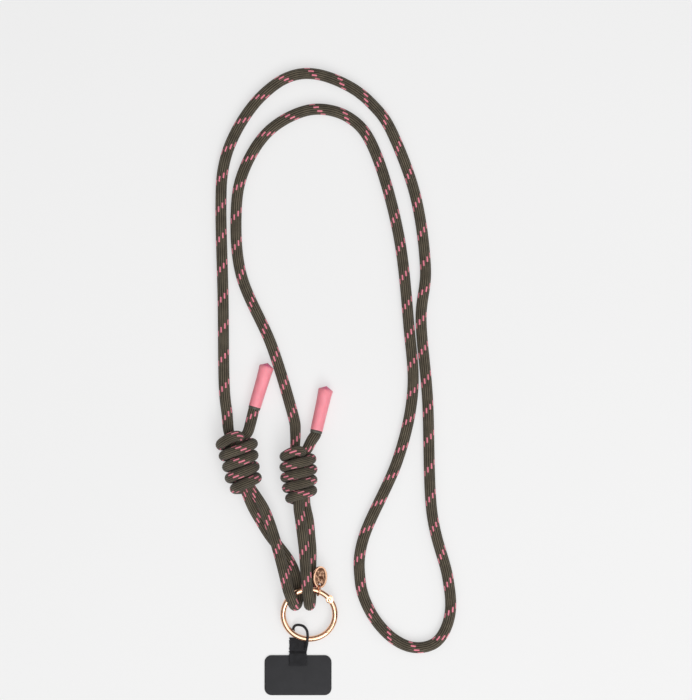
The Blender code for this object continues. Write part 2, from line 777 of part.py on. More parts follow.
def build():
    clear_scene()
    cord = make_material("braided_cord", (0.085, 0.065, 0.045), 0.8)
    pink = make_material("pink_sleeve", (0.95, 0.30, 0.36), 0.45)
    metal = make_material("rose_gold", (0.90, 0.58, 0.42), 0.2, 1.0)
    black = make_material("black_webbing", (0.02, 0.02, 0.022), 0.75)
    make_strap(cord)
    make_leg("left_leg", LEFT_KNOT, LEFT_LEG_ROUTE, ("bight", "standing"), cord)
    make_leg("right_leg", RIGHT_KNOT, RIGHT_LEG_ROUTE, ("standing", "bight"), cord)
    make_knot("left_knot", LEFT_KNOT, cord)
    make_knot("right_knot", RIGHT_KNOT, cord)
    make_tail("left_tail", LEFT_KNOT, LEFT_TAIL_ROUTE, LEFT_CAP_END, cord)
    make_tail("right_tail", RIGHT_KNOT, RIGHT_TAIL_ROUTE, RIGHT_CAP_END, cord)
    make_cap("left_end_cap", LEFT_TAIL_ROUTE, LEFT_CAP_END, pink)
    make_cap("right_end_cap", RIGHT_TAIL_ROUTE, RIGHT_CAP_END, pink)
    make_ring(metal)
    make_jump_ring(metal)
    make_charm(metal)
    make_tether_loop(black)
    make_tab(black)
    make_card(black)


build()
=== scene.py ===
"""Crossbody strap, dressed for a close look: plaited cord with tracer stitches, soft sleeves on its
tails, rose gold ring hardware and a woven tether, laid on a pale studio floor.

Metres, +Z up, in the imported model's own frame.
"""

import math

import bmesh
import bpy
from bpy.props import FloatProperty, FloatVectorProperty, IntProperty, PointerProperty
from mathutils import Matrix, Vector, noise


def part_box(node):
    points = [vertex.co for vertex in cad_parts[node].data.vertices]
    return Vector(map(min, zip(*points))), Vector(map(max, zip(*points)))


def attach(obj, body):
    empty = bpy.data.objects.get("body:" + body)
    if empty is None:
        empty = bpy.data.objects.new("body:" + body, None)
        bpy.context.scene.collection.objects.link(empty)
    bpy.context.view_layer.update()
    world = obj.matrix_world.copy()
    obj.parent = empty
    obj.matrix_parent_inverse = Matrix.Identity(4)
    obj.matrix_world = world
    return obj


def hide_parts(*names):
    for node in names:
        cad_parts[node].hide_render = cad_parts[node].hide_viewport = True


bl_info = {
    "name": "Crossbody Strap Dresser",
    "version": (1, 0, 0),
    "blender": (4, 5, 0),
    "location": "View3D > Sidebar > Strap",
    "description": "Dresses a crossbody strap with plaited cord, sleeves, ring hardware and a tether",
    "category": "Object",
}

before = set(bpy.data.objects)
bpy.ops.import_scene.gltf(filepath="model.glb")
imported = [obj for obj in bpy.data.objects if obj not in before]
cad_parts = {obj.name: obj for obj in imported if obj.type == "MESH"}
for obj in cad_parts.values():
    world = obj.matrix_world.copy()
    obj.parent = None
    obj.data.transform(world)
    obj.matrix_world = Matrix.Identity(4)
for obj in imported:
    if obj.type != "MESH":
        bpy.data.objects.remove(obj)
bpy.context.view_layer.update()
MM = 0.001

# The photograph's height in pixels, a pixel's size on the table and the point of the table at its middle
PHOTO_HEIGHT = 700
PIXEL = 0.567 * MM
AIM = (5.9 * MM, 18.3 * MM)
# Width of the camera's sensor in millimetres
SENSOR = 36.0

# The cord, and the gap between pieces that don't touch
DIAMETER = 6.3 * MM
GAP = 0.3 * MM
RIB_FACETS = 4
# Shares of the thickness between which the tracer sinks out of sight inside a knot
SUNK = (0.74, 0.86)

# The cord's knots, in diameters of the cord unless a unit is given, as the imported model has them
KNOT_TURNS = 4
KNOT_STEPS = 14
KNOT_DEPTH = 1.10 * DIAMETER
KNOT_HEIGHT = 1.58 * DIAMETER
KNOT_CORE = 0.48
LEFT_KNOT = {
    "top": (-56.2 * MM, -31.2 * MM),
    "lean": math.radians(9.8),
    "squeeze": 0.93,
    "pitch": 1.02 * DIAMETER,
    "first": 0.41 * DIAMETER,
    "front_drop": 0.14 * DIAMETER,
    "turns": ((1.45, 0.0), (1.35, 0.0), (1.22, 0.0), (1.18, 0.02), (1.06, 0.19)),
    "last_turn": 4.25,
    "strands": {"standing": (-0.34, -0.18), "bight": (0.0, 0.30), "tail": (0.33, -0.17)},
    "exits": {"standing": (-0.10, 0.02), "bight": (0.45, 0.23)},
    "tuck": ((0.46, 0.30, -0.82, 0.75), (0.56, 0.22, -0.58, 0.60), (0.36, -0.16, -0.35, 0.48)),
}
RIGHT_KNOT = {
    "top": (-21.5 * MM, -39.5 * MM),
    "lean": math.radians(3.6),
    "squeeze": 0.87,
    "pitch": 0.94 * DIAMETER,
    "first": 0.30 * DIAMETER,
    "front_drop": 0.12 * DIAMETER,
    "turns": ((1.20, 0.0), (1.27, 0.0), (1.26, 0.0), (1.16, 0.0), (1.02, 0.08)),
    "last_turn": 4.08,
    "strands": {"standing": (-0.32, 0.06), "bight": (0.27, 0.21), "tail": (0.04, -0.365)},
    "exits": {"standing": (-0.10, 0.20), "bight": (0.46, -0.10)},
    "tuck": ((-0.52, 0.30, -0.80, 0.70), (-0.34, 0.27, -0.74, 0.60), (-0.19, -0.10, -0.38, 0.50)),
}
# How the bight climbs out of the core: to the right, down the axis and up, in diameters, then its share
# of the cord's thickness. None is the knot's own squeeze.
BIGHT_STEPS = (
    (0.22, 0.35, 0.42, 0.58),
    (0.40, -0.02, 0.66, 0.86),
    (0.08, -0.18, 0.98, None),
    (-0.58, -0.06, 1.08, None),
)
# Where the bight passes into the first turn: shares of that turn's half width and of its place down the
# axis, and its height in diameters
BIGHT_SIDE = (-0.87, 0.55, 0.62)
# Where a tail leaves its knot, given as the bight's steps are
TAIL_EXIT = (0.56, 0.10, -0.12, 0.78)
# Where a cord narrows into a knot's top and foot: how far inside, and its share of the thickness there
TOP_NECK = (0.62 * DIAMETER, 0.74)
FOOT_NECK = (0.20 * DIAMETER, 0.76)
# How far inside the top and the foot a strand has its place in the core
TOP_CORE = 1.30 * DIAMETER
FOOT_CORE = 1.35 * DIAMETER
# Shares of the thickness at the mouths of the knots
CORD_MOUTH = 0.96
LEG_MOUTH = 0.92

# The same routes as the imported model's cords: x, y and height of the centre line, in metres
STRAP_ROUTE = [
    (-0.0603, -0.0278, 0.0073), (-0.0613, -0.0185, 0.0049), (-0.0631, 0.0, 0.0033),
    (-0.0637, 0.048, 0.00315), (-0.0649, 0.099, 0.00315), (-0.0632, 0.123, 0.00315),
    (-0.056, 0.1425, 0.00315), (-0.0435, 0.1604, 0.00315), (-0.028, 0.1722, 0.00315),
    (-0.012, 0.1746, 0.00315), (0.0065, 0.1682, 0.00315), (0.0206, 0.1575, 0.00315),
    (0.032, 0.1414, 0.00315), (0.0453, 0.1051, 0.00315), (0.0509, 0.0648, 0.00315),
    (0.0484, 0.035, 0.00315), (0.0521, -0.01, 0.00315), (0.0544, -0.0724, 0.00315),
    (0.0634, -0.11, 0.00315), (0.0647, -0.1315, 0.00315), (0.0576, -0.1465, 0.00315),
    (0.0445, -0.1501, 0.00315), (0.0312, -0.1439, 0.00315), (0.0198, -0.13, 0.00315),
    (0.0139, -0.112, 0.00315), (0.016, -0.0876, 0.00315), (0.0351, -0.0441, 0.00315),
    (0.0436, -0.006, 0.00315), (0.0416, 0.031, 0.00315), (0.0357, 0.0835, 0.00315),
    (0.0226, 0.13, 0.00315), (0.0085, 0.1493, 0.00315), (-0.0135, 0.1544, 0.00315),
    (-0.0365, 0.1434, 0.00315), (-0.051, 0.1222, 0.00315), (-0.0562, 0.098, 0.00315),
    (-0.0534, 0.0608, 0.00315), (-0.0363, 0.0211, 0.0033), (-0.0245, -0.017, 0.004),
    (-0.0227, -0.0286, 0.0068),
]
LEFT_LEG_ROUTE = [
    (-0.0411, -0.0696, 0.0116), (-0.0376, -0.0782, 0.0115), (-0.0348, -0.0866, 0.0113),
    (-0.0325, -0.0942, 0.0116), (-0.0306, -0.101, 0.0125), (-0.0287, -0.1084, 0.0139),
    (-0.0266, -0.1168, 0.0147), (-0.0246, -0.1224, 0.0141), (-0.023, -0.1257, 0.0104),
    (-0.0215, -0.124, 0.006), (-0.0216, -0.1174, 0.004), (-0.0231, -0.108, 0.0042),
    (-0.0264, -0.1008, 0.004), (-0.0313, -0.094, 0.0041), (-0.0372, -0.0866, 0.0046),
    (-0.0423, -0.0782, 0.006), (-0.0474, -0.0694, 0.0076),
]
RIGHT_LEG_ROUTE = [
    (-0.0209, -0.0697, 0.0114), (-0.0196, -0.0781, 0.011), (-0.0185, -0.0866, 0.0114),
    (-0.0175, -0.0951, 0.0124), (-0.0168, -0.1053, 0.0142), (-0.0158, -0.1166, 0.0152),
    (-0.0152, -0.1216, 0.0146), (-0.0147, -0.1256, 0.011), (-0.0141, -0.1229, 0.0066),
    (-0.014, -0.1166, 0.0044), (-0.014, -0.1053, 0.0042), (-0.0139, -0.0951, 0.0046),
    (-0.0146, -0.0866, 0.005), (-0.0154, -0.0781, 0.0057), (-0.0169, -0.0699, 0.0066),
]
LEFT_TAIL_ROUTE = [
    (-0.0497, -0.0284, 0.009), (-0.0479, -0.0225, 0.0074), (-0.0457, -0.0138, 0.0056),
]
LEFT_CAP_END = (-0.0388, 0.0094, 0.0054)
RIGHT_TAIL_ROUTE = [
    (-0.016, -0.0376, 0.0092), (-0.0135, -0.0328, 0.0082), (-0.0108, -0.0272, 0.0064),
]
RIGHT_CAP_END = (-0.0055, -0.0039, 0.0046)

# The tether's cord: x from the tab's middle, y from the near side of the ring wire, height
TAB_PLACE_X = -0.0213
TETHER_ROUTE = [
    (-0.0019, 0.0022, 0.0008), (-0.0025, 0.004, 0.0008), (-0.0026, 0.006, 0.0012),
    (-0.0016, 0.0075, 0.0021), (0.0004, 0.008, 0.0032), (0.0032, 0.0073, 0.0044),
    (0.005, 0.0051, 0.0055), (0.0055, 0.0023, 0.0062), (0.0054, -0.0001, 0.006),
    (0.0051, -0.0029, 0.0043), (0.0047, -0.0047, 0.0024), (0.0045, -0.0063, 0.0021),
]

# How the cords are twisted as they lie: share of the cord's length, turns of the tracer yarn
STRAP_TWIST = (
    (0.06, 0.379), (0.19, 0.214), (0.44, 0.221), (0.56, 0.448), (0.69, 0.585), (0.81, 0.719), (0.94, 0.693),
)
LEFT_LEG_TWIST = ((0.0, 0.895), (0.5, 0.738))
RIGHT_LEG_TWIST = ((0.0, 0.532), (0.5, 0.373))
LEFT_KNOT_TWIST = ((0.0, 0.11), (1.0, 0.76))
RIGHT_KNOT_TWIST = ((0.0, 0.929), (1.0, 1.86))
LEFT_TAIL_TWIST = ((0.0, 0.34),)
RIGHT_TAIL_TWIST = ((0.0, 0.027),)

# Sleeves on the tails
CAP_LENGTH = 25.8 * MM
CAP_END_RADIUS = 3.85 * MM
CAP_BORE_RADIUS = 2.7 * MM
CAP_BORE_DEPTH = 9.0 * MM
CAP_SEAT_GAP = 0.05 * MM
# How far before the sleeve's mouth the tail has its full thickness, and where it has narrowed to the bore
CAP_APPROACH = 0.40 * DIAMETER
CAP_NARROWED = 0.02 * DIAMETER
CAP_SIDES = 56
CAP_RIPPLE = 0.07 * MM
# How far the pinched end falls away from its middle to its corners, the share of the length where that
# starts, and the width of the soft edge of the painted shade on its sloped facet
CAP_ROOF = 1.9 * MM
CAP_ROOF_START = 0.80
CAP_FOLD_SHADE_BLUR = 0.25 * MM
# The sleeve's outline: share of its length, then width and thickness as shares of its end radius
CAP_SECTIONS = (
    (0.0, 0.86, 0.86), (0.004, 0.90, 0.90), (0.012, 0.915, 0.915), (0.06, 0.92, 0.92),
    (0.2, 0.93, 0.93), (0.4, 0.955, 0.955), (0.6, 0.985, 0.975), (0.78, 1.03, 0.98),
    (0.87, 1.06, 0.96), (0.905, 1.075, 0.92), (0.94, 1.085, 0.80), (0.965, 1.085, 0.64),
    (0.985, 1.065, 0.44), (0.996, 1.02, 0.26), (1.0, 0.95, 0.12),
)
BAND_LENGTH = 1.5 * MM
# The band's outline: how far past the bore's radius, and its place along the tail
BAND_OUTLINE = (
    (0.56 * MM, -BAND_LENGTH), (0.68 * MM, -0.8 * BAND_LENGTH), (0.70 * MM, 0.0), (-0.05 * MM, 0.0),
)

# The gate ring and what hangs on it
RING_OUTER = 32.5 * MM
RING_WIRE = 3.2 * MM
RING_TILT = math.radians(14.0)
RING_PLACE = (-15.0 * MM, -131.1 * MM)
RING_SIDES = 40
RING_STEPS = 180
HINGE_ANGLE = math.radians(38.0)
LAP_START = math.radians(-18.0)
LAP_END = math.radians(-45.0)
CUT_PAST = math.radians(11.0)
SWING_SIDES = 160
CHEEK_RADIUS = 2.0 * MM
TONGUE = 1.2 * MM
BODY_EDGE = 0.14 * MM
GATE_EDGE = 0.12 * MM
# Edges sharper than this many degrees stay crisp: on cut metal, on rounded pieces and on the tab
METAL_CREASE = 38.0
ROUND_CREASE = 50.0
TAB_CREASE = 60.0
PIN_RADIUS = 0.6 * MM
PIN_SIDES = 36
PIN_HEAD = 0.95 * MM
PIN_TOP = RING_WIRE / 2 + 0.34 * MM
# The outline of the pin's head: radius, and how far below its top
PIN_HEAD_OUTLINE = (
    (0.25 * PIN_HEAD, 0.0), (0.60 * PIN_HEAD, 0.04 * MM), (0.90 * PIN_HEAD, 0.14 * MM),
    (PIN_HEAD, 0.26 * MM), (PIN_HEAD, 0.33 * MM), (PIN_RADIUS, 0.335 * MM),
)
CHARM_LENGTH = 12.4 * MM
CHARM_WIDTH = 8.6 * MM
CHARM_THICKNESS = 1.6 * MM
CHARM_SIDES = 96
CHARM_EDGE = 0.22 * MM
CHARM_RIM = 0.8 * MM
CHARM_RECESS = 0.35 * MM
# Rounds of faces in the charm's sunk face, and its hammered dents' depth and spacing
CHARM_ROUNDS = 10
DENT_DEPTH = 0.22 * MM
DENT_SPACING = 0.95 * MM
# How far out the sunk face and its dents reach, as shares of the way to the charm's outline
SUNK_REACH = 0.84
DENT_REACH = 0.72
CHARM_HOLE_RADIUS = 1.05 * MM
CHARM_HOLE_INSET = 1.7 * MM
CHARM_ROLL = math.radians(30.0)
CHARM_LEAN = math.radians(-3.0)
CHARM_ANGLE = math.radians(68.5)
JUMP_MEAN_RADIUS = 2.95 * MM
JUMP_WIRE = 0.9 * MM
JUMP_ROLL = math.radians(12.0)
JUMP_WAY = (0.16, 0.98, 0.08)

# The tether: its cord, its woven tab and its card
TETHER_DIAMETER = 1.5 * MM
TETHER_SIDES = 24
TETHER_STEP = 0.3 * MM
TAB_THICKNESS = 1.0 * MM
TAB_CLEARANCE = 0.08 * MM
# How far before the card's edge the tab starts to step up on it, and where it is up
TAB_STEP_START = 2.5 * MM
TAB_STEP_END = 0.9 * MM
WARPS = 13
WARP_FACETS = 4
WARP_RELIEF = 0.16 * MM
WEFT = 0.9 * MM
WEFT_FACETS = 4
WEFT_RELIEF = 0.05 * MM
EDGE_DROP = 0.12 * MM
FRAY = 0.55 * MM
# Waves of the fray across the tab and along it
FRAY_WAVES = (3.0, 21.0)
CARD_CORNER = 4.0 * MM
CARD_EDGE = 0.3 * MM
CARD_THREAD = 0.55 * MM

# The studio's lights: name, place and size in metres, and the setting that holds its power
LIGHTS = (
    ("key_light", (0.45, -1.60, 1.60), 0.90, "key_power"),
    ("top_light", (0.35, -0.55, 2.30), 2.40, "top_power"),
    ("side_light", (1.90, -0.25, 1.10), 1.20, "side_power"),
)
FLOOR_HALF = 3.0
CLIP_NEAR = 0.05
CLIP_FAR = 20.0


def srgb(red, green, blue):
    """An sRGB colour of whole numbers to 255, as the linear values that shaders take."""
    linear = []
    for value in (red, green, blue):
        share = value / 255.0
        linear.append(share / 12.92 if share <= 0.04045 else ((share + 0.055) / 1.055) ** 2.4)
    return linear


class CordLook(bpy.types.PropertyGroup):
    """Sizes and colours of the plaited cord."""

    ribs: IntProperty(name="Ribs", description="Ribs round the cord, an even number", default=16, min=4)
    rib_depth: FloatProperty(
        name="Rib depth", description="How deep the grooves between ribs are", default=0.24 * MM,
        unit="LENGTH", precision=5,
    )
    step: FloatProperty(
        name="Step", description="Length of one row of faces along the cord", default=1.0 * MM,
        unit="LENGTH", precision=5,
    )
    tracer_pitch: FloatProperty(
        name="Tracer pitch", description="Length of one turn of the tracer yarn",
        default=16.75 * MM, unit="LENGTH", precision=5,
    )
    dash: FloatProperty(
        name="Dash", description="Length of one tracer stitch", default=3.1 * MM, unit="LENGTH",
        precision=5,
    )
    stitch: FloatProperty(
        name="Stitch", description="Length of one plaited stitch", default=1.25 * MM, unit="LENGTH",
        precision=5,
    )
    rib_colour: FloatVectorProperty(
        name="Rib colour", description="Colour of the cord's ribs", subtype="COLOR",
        default=srgb(112, 103, 86),
    )
    # Painted shade: the dark colour in the grooves and between stitches stands in for shade.
    groove_shade_colour: FloatVectorProperty(
        name="Groove colour", description="Colour between the ribs", subtype="COLOR",
        default=srgb(36, 29, 23),
    )
    tracer_colour: FloatVectorProperty(
        name="Tracer colour", description="Colour of the tracer stitches", subtype="COLOR",
        default=srgb(255, 148, 166),
    )


class SleeveLook(bpy.types.PropertyGroup):
    """Colours and finish of the tails' sleeves, with painted shade on their pinched ends."""

    colour: FloatVectorProperty(
        name="Colour", description="Colour of the sleeves", subtype="COLOR",
        default=srgb(250, 149, 162),
    )
    # Painted shade: the sloped facet of the pinched end is darkened in colour for the light it misses.
    fold_shade_colour: FloatVectorProperty(
        name="Fold colour", description="Colour of the sleeves' pinched ends", subtype="COLOR",
        default=srgb(230, 116, 150),
    )
    band_colour: FloatVectorProperty(
        name="Band colour", description="Colour of the dark band at each mouth", subtype="COLOR",
        default=srgb(98, 98, 88),
    )


class MetalLook(bpy.types.PropertyGroup):
    """Colours of the plated metal."""

    colour: FloatVectorProperty(
        name="Plating", description="Colour of the polished plating", subtype="COLOR",
        default=srgb(248, 198, 164),
    )
    dark_colour: FloatVectorProperty(
        name="Patina", description="Colour in the charm's recess and other low places",
        subtype="COLOR", default=srgb(88, 53, 36),
    )


class WebbingLook(bpy.types.PropertyGroup):
    """Colours of the black tether, tab and card."""

    colour: FloatVectorProperty(
        name="Webbing", description="Colour of the black webbing and cord", subtype="COLOR",
        default=srgb(20, 20, 23),
    )
    card_colour: FloatVectorProperty(
        name="Card", description="Colour of the insert card", subtype="COLOR",
        default=srgb(29, 29, 32),
    )


class StageLook(bpy.types.PropertyGroup):
    """The studio."""

    lens: FloatProperty(name="Lens", description="Focal length in millimetres", default=180.0)
    floor_colour: FloatVectorProperty(
        name="Floor", description="Colour of the floor", subtype="COLOR", default=srgb(241, 241, 241),
    )
    floor_glow: FloatProperty(
        name="Floor glow", description="Share of the floor's brightness that shadows don't reach",
        default=0.58, min=0.0, max=1.0,
    )
    key_power: FloatProperty(name="Key light", description="Power of the key light in watts", default=11.5)
    top_power: FloatProperty(name="Top light", description="Power of the top light in watts", default=31.0)
    side_power: FloatProperty(
        name="Side light", description="Power of the low light on the right in watts", default=3.0
    )
    sky: FloatProperty(name="Sky", description="Strength of the light from all round", default=0.48)


def connect(tree, value, socket):
    """Links another socket to this one, or sets the socket to a plain value."""
    if isinstance(value, bpy.types.NodeSocket):
        tree.links.new(value, socket)
    else:
        socket.default_value = value


def compute(tree, operation, *values, clamp=False):
    node = tree.nodes.new("ShaderNodeMath")
    node.operation = operation
    node.use_clamp = clamp
    for value, socket in zip(values, node.inputs):
        connect(tree, value, socket)
    return node.outputs[0]


def ramp(tree, value, low, high, to_low=0.0, to_high=1.0):
    """A smooth step of value from low to high."""
    node = tree.nodes.new("ShaderNodeMapRange")
    node.interpolation_type = "SMOOTHSTEP"
    for name, number in (("From Min", low), ("From Max", high), ("To Min", to_low), ("To Max", to_high)):
        node.inputs[name].default_value = number
    connect(tree, value, node.inputs["Value"])
    return node.outputs["Result"]


def blend_colours(tree, share, first, second):
    node = tree.nodes.new("ShaderNodeMix")
    node.data_type = "RGBA"
    connect(tree, share, node.inputs[0])
    for value, socket in ((first, node.inputs[6]), (second, node.inputs[7])):
        if not isinstance(value, bpy.types.NodeSocket):
            value = (*value, 1.0)
        connect(tree, value, socket)
    return node.outputs[2]


def shaded(colour, share):
    """A colour made darker or lighter by a share."""
    return [channel * share for channel in colour]


def new_material(name, values):
    """A new material, its tree and its shader, with plain values on the shader's own sockets."""
    material = bpy.data.materials.new(name)
    material.use_nodes = True
    shader = material.node_tree.nodes["Principled BSDF"]
    for label, value in values.items():
        shader.inputs[label].default_value = value
    return material, material.node_tree, shader


def material_once(name, build, look):
    """The material of this name, built from its look unless it is already there."""
    return bpy.data.materials.get(name) or build(name, look)


def colour_and_relief(tree, shader, colour, height, distance, strength):
    """Links a colour and a relief to the shader."""
    node = tree.nodes.new("ShaderNodeBump")
    node.inputs["Distance"].default_value = distance
    node.inputs["Strength"].default_value = strength
    connect(tree, height, node.inputs["Height"])
    connect(tree, node.outputs["Normal"], shader.inputs["Normal"])
    connect(tree, colour, shader.inputs["Base Color"])


def object_place(tree):
    return tree.nodes.new("ShaderNodeTexCoord").outputs["Object"]


def cord_place(tree):
    node = tree.nodes.new("ShaderNodeUVMap")
    node.uv_map = "cord_map"
    return node.outputs["UV"]


def kept_value(tree, name):
    """A number that the piece's mesh keeps at each vertex."""
    node = tree.nodes.new("ShaderNodeAttribute")
    node.attribute_name = name
    return node.outputs["Fac"]


def new_group(name, inputs, outputs):
    """An empty shader group with number inputs (name, default) and number outputs."""
    group = bpy.data.node_groups.new(name, "ShaderNodeTree")
    for label, default in inputs:
        kind = "NodeSocketVector" if default is None else "NodeSocketFloat"
        socket = group.interface.new_socket(name=label, in_out="INPUT", socket_type=kind)
        if default is not None:
            socket.default_value = default
    for label in outputs:
        group.interface.new_socket(name=label, in_out="OUTPUT", socket_type="NodeSocketFloat")
    source = group.nodes.new("NodeGroupInput")
    sink = group.nodes.new("NodeGroupOutput")
    return group, source.outputs, sink.inputs


def use_group(tree, group, **values):
    node = tree.nodes.new("ShaderNodeGroup")
    node.node_tree = group
    for label, value in values.items():
        connect(tree, value, node.inputs[label])
    return node.outputs


def plait_group():
    """Ribs, slanted stitches and tracer dashes of a plaited cord, from its map of turns and metres."""
    group = bpy.data.node_groups.get("plait")
    if group:
        return group
    inputs = [("Map", None), ("Ribs", 16.0), ("Pitch", 0.0167), ("Dash", 0.0031), ("Stitch", 0.0012)]
    group, given, result = new_group("plait", inputs, ["Groove", "Tracer", "Stitches"])
    parts = group.nodes.new("ShaderNodeSeparateXYZ")
    group.links.new(given["Map"], parts.inputs[0])
    turn = parts.outputs["X"]
    run = parts.outputs["Y"]
    ribs = compute(group, "MULTIPLY_ADD", turn, given["Ribs"], 0.5)
    rib = compute(group, "FLOOR", ribs)
    across = compute(group, "SUBTRACT", compute(group, "FRACT", ribs), 0.5)
    aside = compute(group, "ABSOLUTE", across)
    connect(group, ramp(group, aside, 0.18, 0.44), result["Groove"])
    odd = compute(group, "MODULO", rib, 2.0)

    share = compute(group, "DIVIDE", rib, given["Ribs"])
    phase = compute(group, "ADD", compute(group, "DIVIDE", run, given["Pitch"]), share)
    off = compute(group, "SUBTRACT", compute(group, "FRACT", phase), 0.5)
    distance = compute(group, "MULTIPLY", compute(group, "ABSOLUTE", off), given["Pitch"])
    reach = compute(group, "DIVIDE", distance, given["Dash"])
    dash = ramp(group, reach, 0.44, 0.54, 1.0, 0.0)
    width = compute(group, "MULTIPLY", ramp(group, aside, 0.38, 0.50, 1.0, 0.0), odd)
    connect(group, compute(group, "MULTIPLY", dash, width), result["Tracer"])

    slant = compute(group, "SUBTRACT", compute(group, "MULTIPLY", odd, 2.0), 1.0)
    lean = compute(group, "MULTIPLY", compute(group, "MULTIPLY", across, slant), 1.5)
    along = compute(group, "ADD", compute(group, "DIVIDE", run, given["Stitch"]), lean)
    wave = compute(group, "SINE", compute(group, "MULTIPLY", along, 2.0 * math.pi))
    rounded = compute(group, "SUBTRACT", 1.0, compute(group, "POWER", compute(group, "ABSOLUTE", wave), 3.0))
    connect(group, rounded, result["Stitches"])
    return group


def mottle_group():
    """Soft unevenness of two sizes, such as dye, handling marks or dust, from 0 to 1."""
    group = bpy.data.node_groups.get("mottle")
    if group:
        return group
    inputs = [("Place", None), ("Large", 60.0), ("Small", 900.0)]
    group, given, result = new_group("mottle", inputs, ["Patches", "Grain"])
    for label, size, detail in (("Patches", "Large", 3.0), ("Grain", "Small", 2.0)):
        node = group.nodes.new("ShaderNodeTexNoise")
        node.inputs["Detail"].default_value = detail
        group.links.new(given["Place"], node.inputs["Vector"])
        group.links.new(given[size], node.inputs["Scale"])
        connect(group, ramp(group, node.outputs[0], 0.3, 0.7), result[label])
    return group


def mottle(tree, large, small):
    """The mottle group on the piece's own coordinates."""
    return use_group(tree, mottle_group(), Place=object_place(tree), Large=large, Small=small)


def braided_cord_material(name, look):
    """Matt olive brown ribs with painted shade between them and between their stitches, and rosy tracer
    stitches.
    """
    material, tree, shader = new_material(
        name, {"Roughness": 0.82, "Sheen Weight": 0.12, "Sheen Roughness": 0.5, "Specular IOR Level": 0.25}
    )
    plait = use_group(
        tree, plait_group(), Map=cord_place(tree), Ribs=float(look.ribs), Pitch=look.tracer_pitch,
        Dash=look.dash, Stitch=look.stitch,
    )
    uneven = mottle(tree, 190.0, 1500.0)
    pale_rib = shaded(look.rib_colour, 1.25)
    yarn = blend_colours(tree, uneven["Patches"], shaded(look.rib_colour, 0.78), pale_rib)
    # Painted shade in the low places between stitches, on the yarn and on the tracer.
    stitch_shade_mask = compute(tree, "MULTIPLY_ADD", plait["Stitches"], -0.45, 0.45, clamp=True)
    stitch_shaded = blend_colours(tree, stitch_shade_mask, yarn, look.groove_shade_colour)
    speckle = compute(tree, "MULTIPLY", uneven["Grain"], 0.30)
    speckled = blend_colours(tree, speckle, stitch_shaded, shaded(look.rib_colour, 0.5))
    # Painted shade in the grooves between the ribs.
    ribbed = blend_colours(tree, plait["Groove"], speckled, look.groove_shade_colour)
    tracer_stitch_shade = compute(tree, "MULTIPLY", stitch_shade_mask, 1.1, clamp=True)
    rosy = blend_colours(tree, tracer_stitch_shade, look.tracer_colour, shaded(look.tracer_colour, 0.62))
    in_sight = compute(tree, "SUBTRACT", 1.0, kept_value(tree, "drawn_in"))
    tracer = compute(tree, "MULTIPLY", plait["Tracer"], in_sight)
    height = compute(tree, "SUBTRACT", plait["Stitches"], compute(tree, "MULTIPLY", plait["Groove"], 0.6))
    raised = compute(tree, "MULTIPLY_ADD", tracer, 0.5, height)
    fuzzy = compute(tree, "MULTIPLY_ADD", uneven["Grain"], 0.5, raised)
    colour_and_relief(tree, shader, blend_colours(tree, tracer, ribbed, rosy), fuzzy, 0.12 * MM, 0.8)
    return material


def sleeve_material(name, look):
    """Soft pink sleeve, a little uneven, with painted shade on the sloped facet of its pinched end."""
    soft = {"Subsurface Weight": 0.15, "Subsurface Scale": 0.8 * MM, "Subsurface Radius": (1.0, 0.4, 0.35)}
    material, tree, shader = new_material(name, {"Roughness": 0.45, **soft})
    uneven = mottle(tree, 220.0, 1400.0)
    pale = [min(1.0, channel) for channel in shaded(look.colour, 1.05)]
    pink = blend_colours(tree, uneven["Patches"], shaded(look.colour, 0.95), pale)
    # Painted shade on the sloped facet of the pinched end.
    colour = blend_colours(tree, kept_value(tree, "pinch"), pink, look.fold_shade_colour)
    connect(tree, ramp(tree, uneven["Grain"], 0.0, 1.0, 0.38, 0.52), shader.inputs["Roughness"])
    waves = compute(tree, "ADD", uneven["Patches"], compute(tree, "MULTIPLY", uneven["Grain"], 0.3))
    colour_and_relief(tree, shader, colour, waves, 0.08 * MM, 0.5)
    return material


def band_material(name, look):
    """The dull dark band."""
    material, tree, shader = new_material(name, {"Roughness": 0.6})
    uneven = mottle(tree, 400.0, 1800.0)
    colour = blend_colours(tree, uneven["Patches"], shaded(look.band_colour, 0.6), look.band_colour)
    colour_and_relief(tree, shader, colour, uneven["Grain"], 0.05 * MM, 0.6)
    return material


def rose_gold_material(name, look):
    """Polished plating with a fine grain and a darker bloom in low places."""
    material, tree, shader = new_material(name, {"Roughness": 0.12, "Metallic": 1.0})
    uneven = mottle(tree, 350.0, 2400.0)
    plated = blend_colours(tree, uneven["Patches"], shaded(look.colour, 0.86), look.colour)
    worn = ramp(tree, uneven["Patches"], 0.0, 1.0, 1.0, 0.8)
    patina = compute(tree, "MULTIPLY", kept_value(tree, "low_place"), worn)
    polish = ramp(tree, uneven["Grain"], 0.0, 1.0, 0.08, 0.17)
    connect(tree, compute(tree, "MULTIPLY_ADD", patina, 0.18, polish), shader.inputs["Roughness"])
    colour = blend_colours(tree, patina, plated, look.dark_colour)
    colour_and_relief(tree, shader, colour, uneven["Grain"], 0.006 * MM, 0.5)
    return material


def webbing_material(name, look):
    """Black woven webbing."""
    material, tree, shader = new_material(
        name, {"Roughness": 0.72, "Sheen Weight": 0.1, "Specular IOR Level": 0.35}
    )
    uneven = mottle(tree, 420.0, 2600.0)
    colour = blend_colours(tree, uneven["Patches"], look.colour, shaded(look.colour, 1.9))
    colour_and_relief(tree, shader, colour, uneven["Grain"], 0.05 * MM, 0.7)
    return material


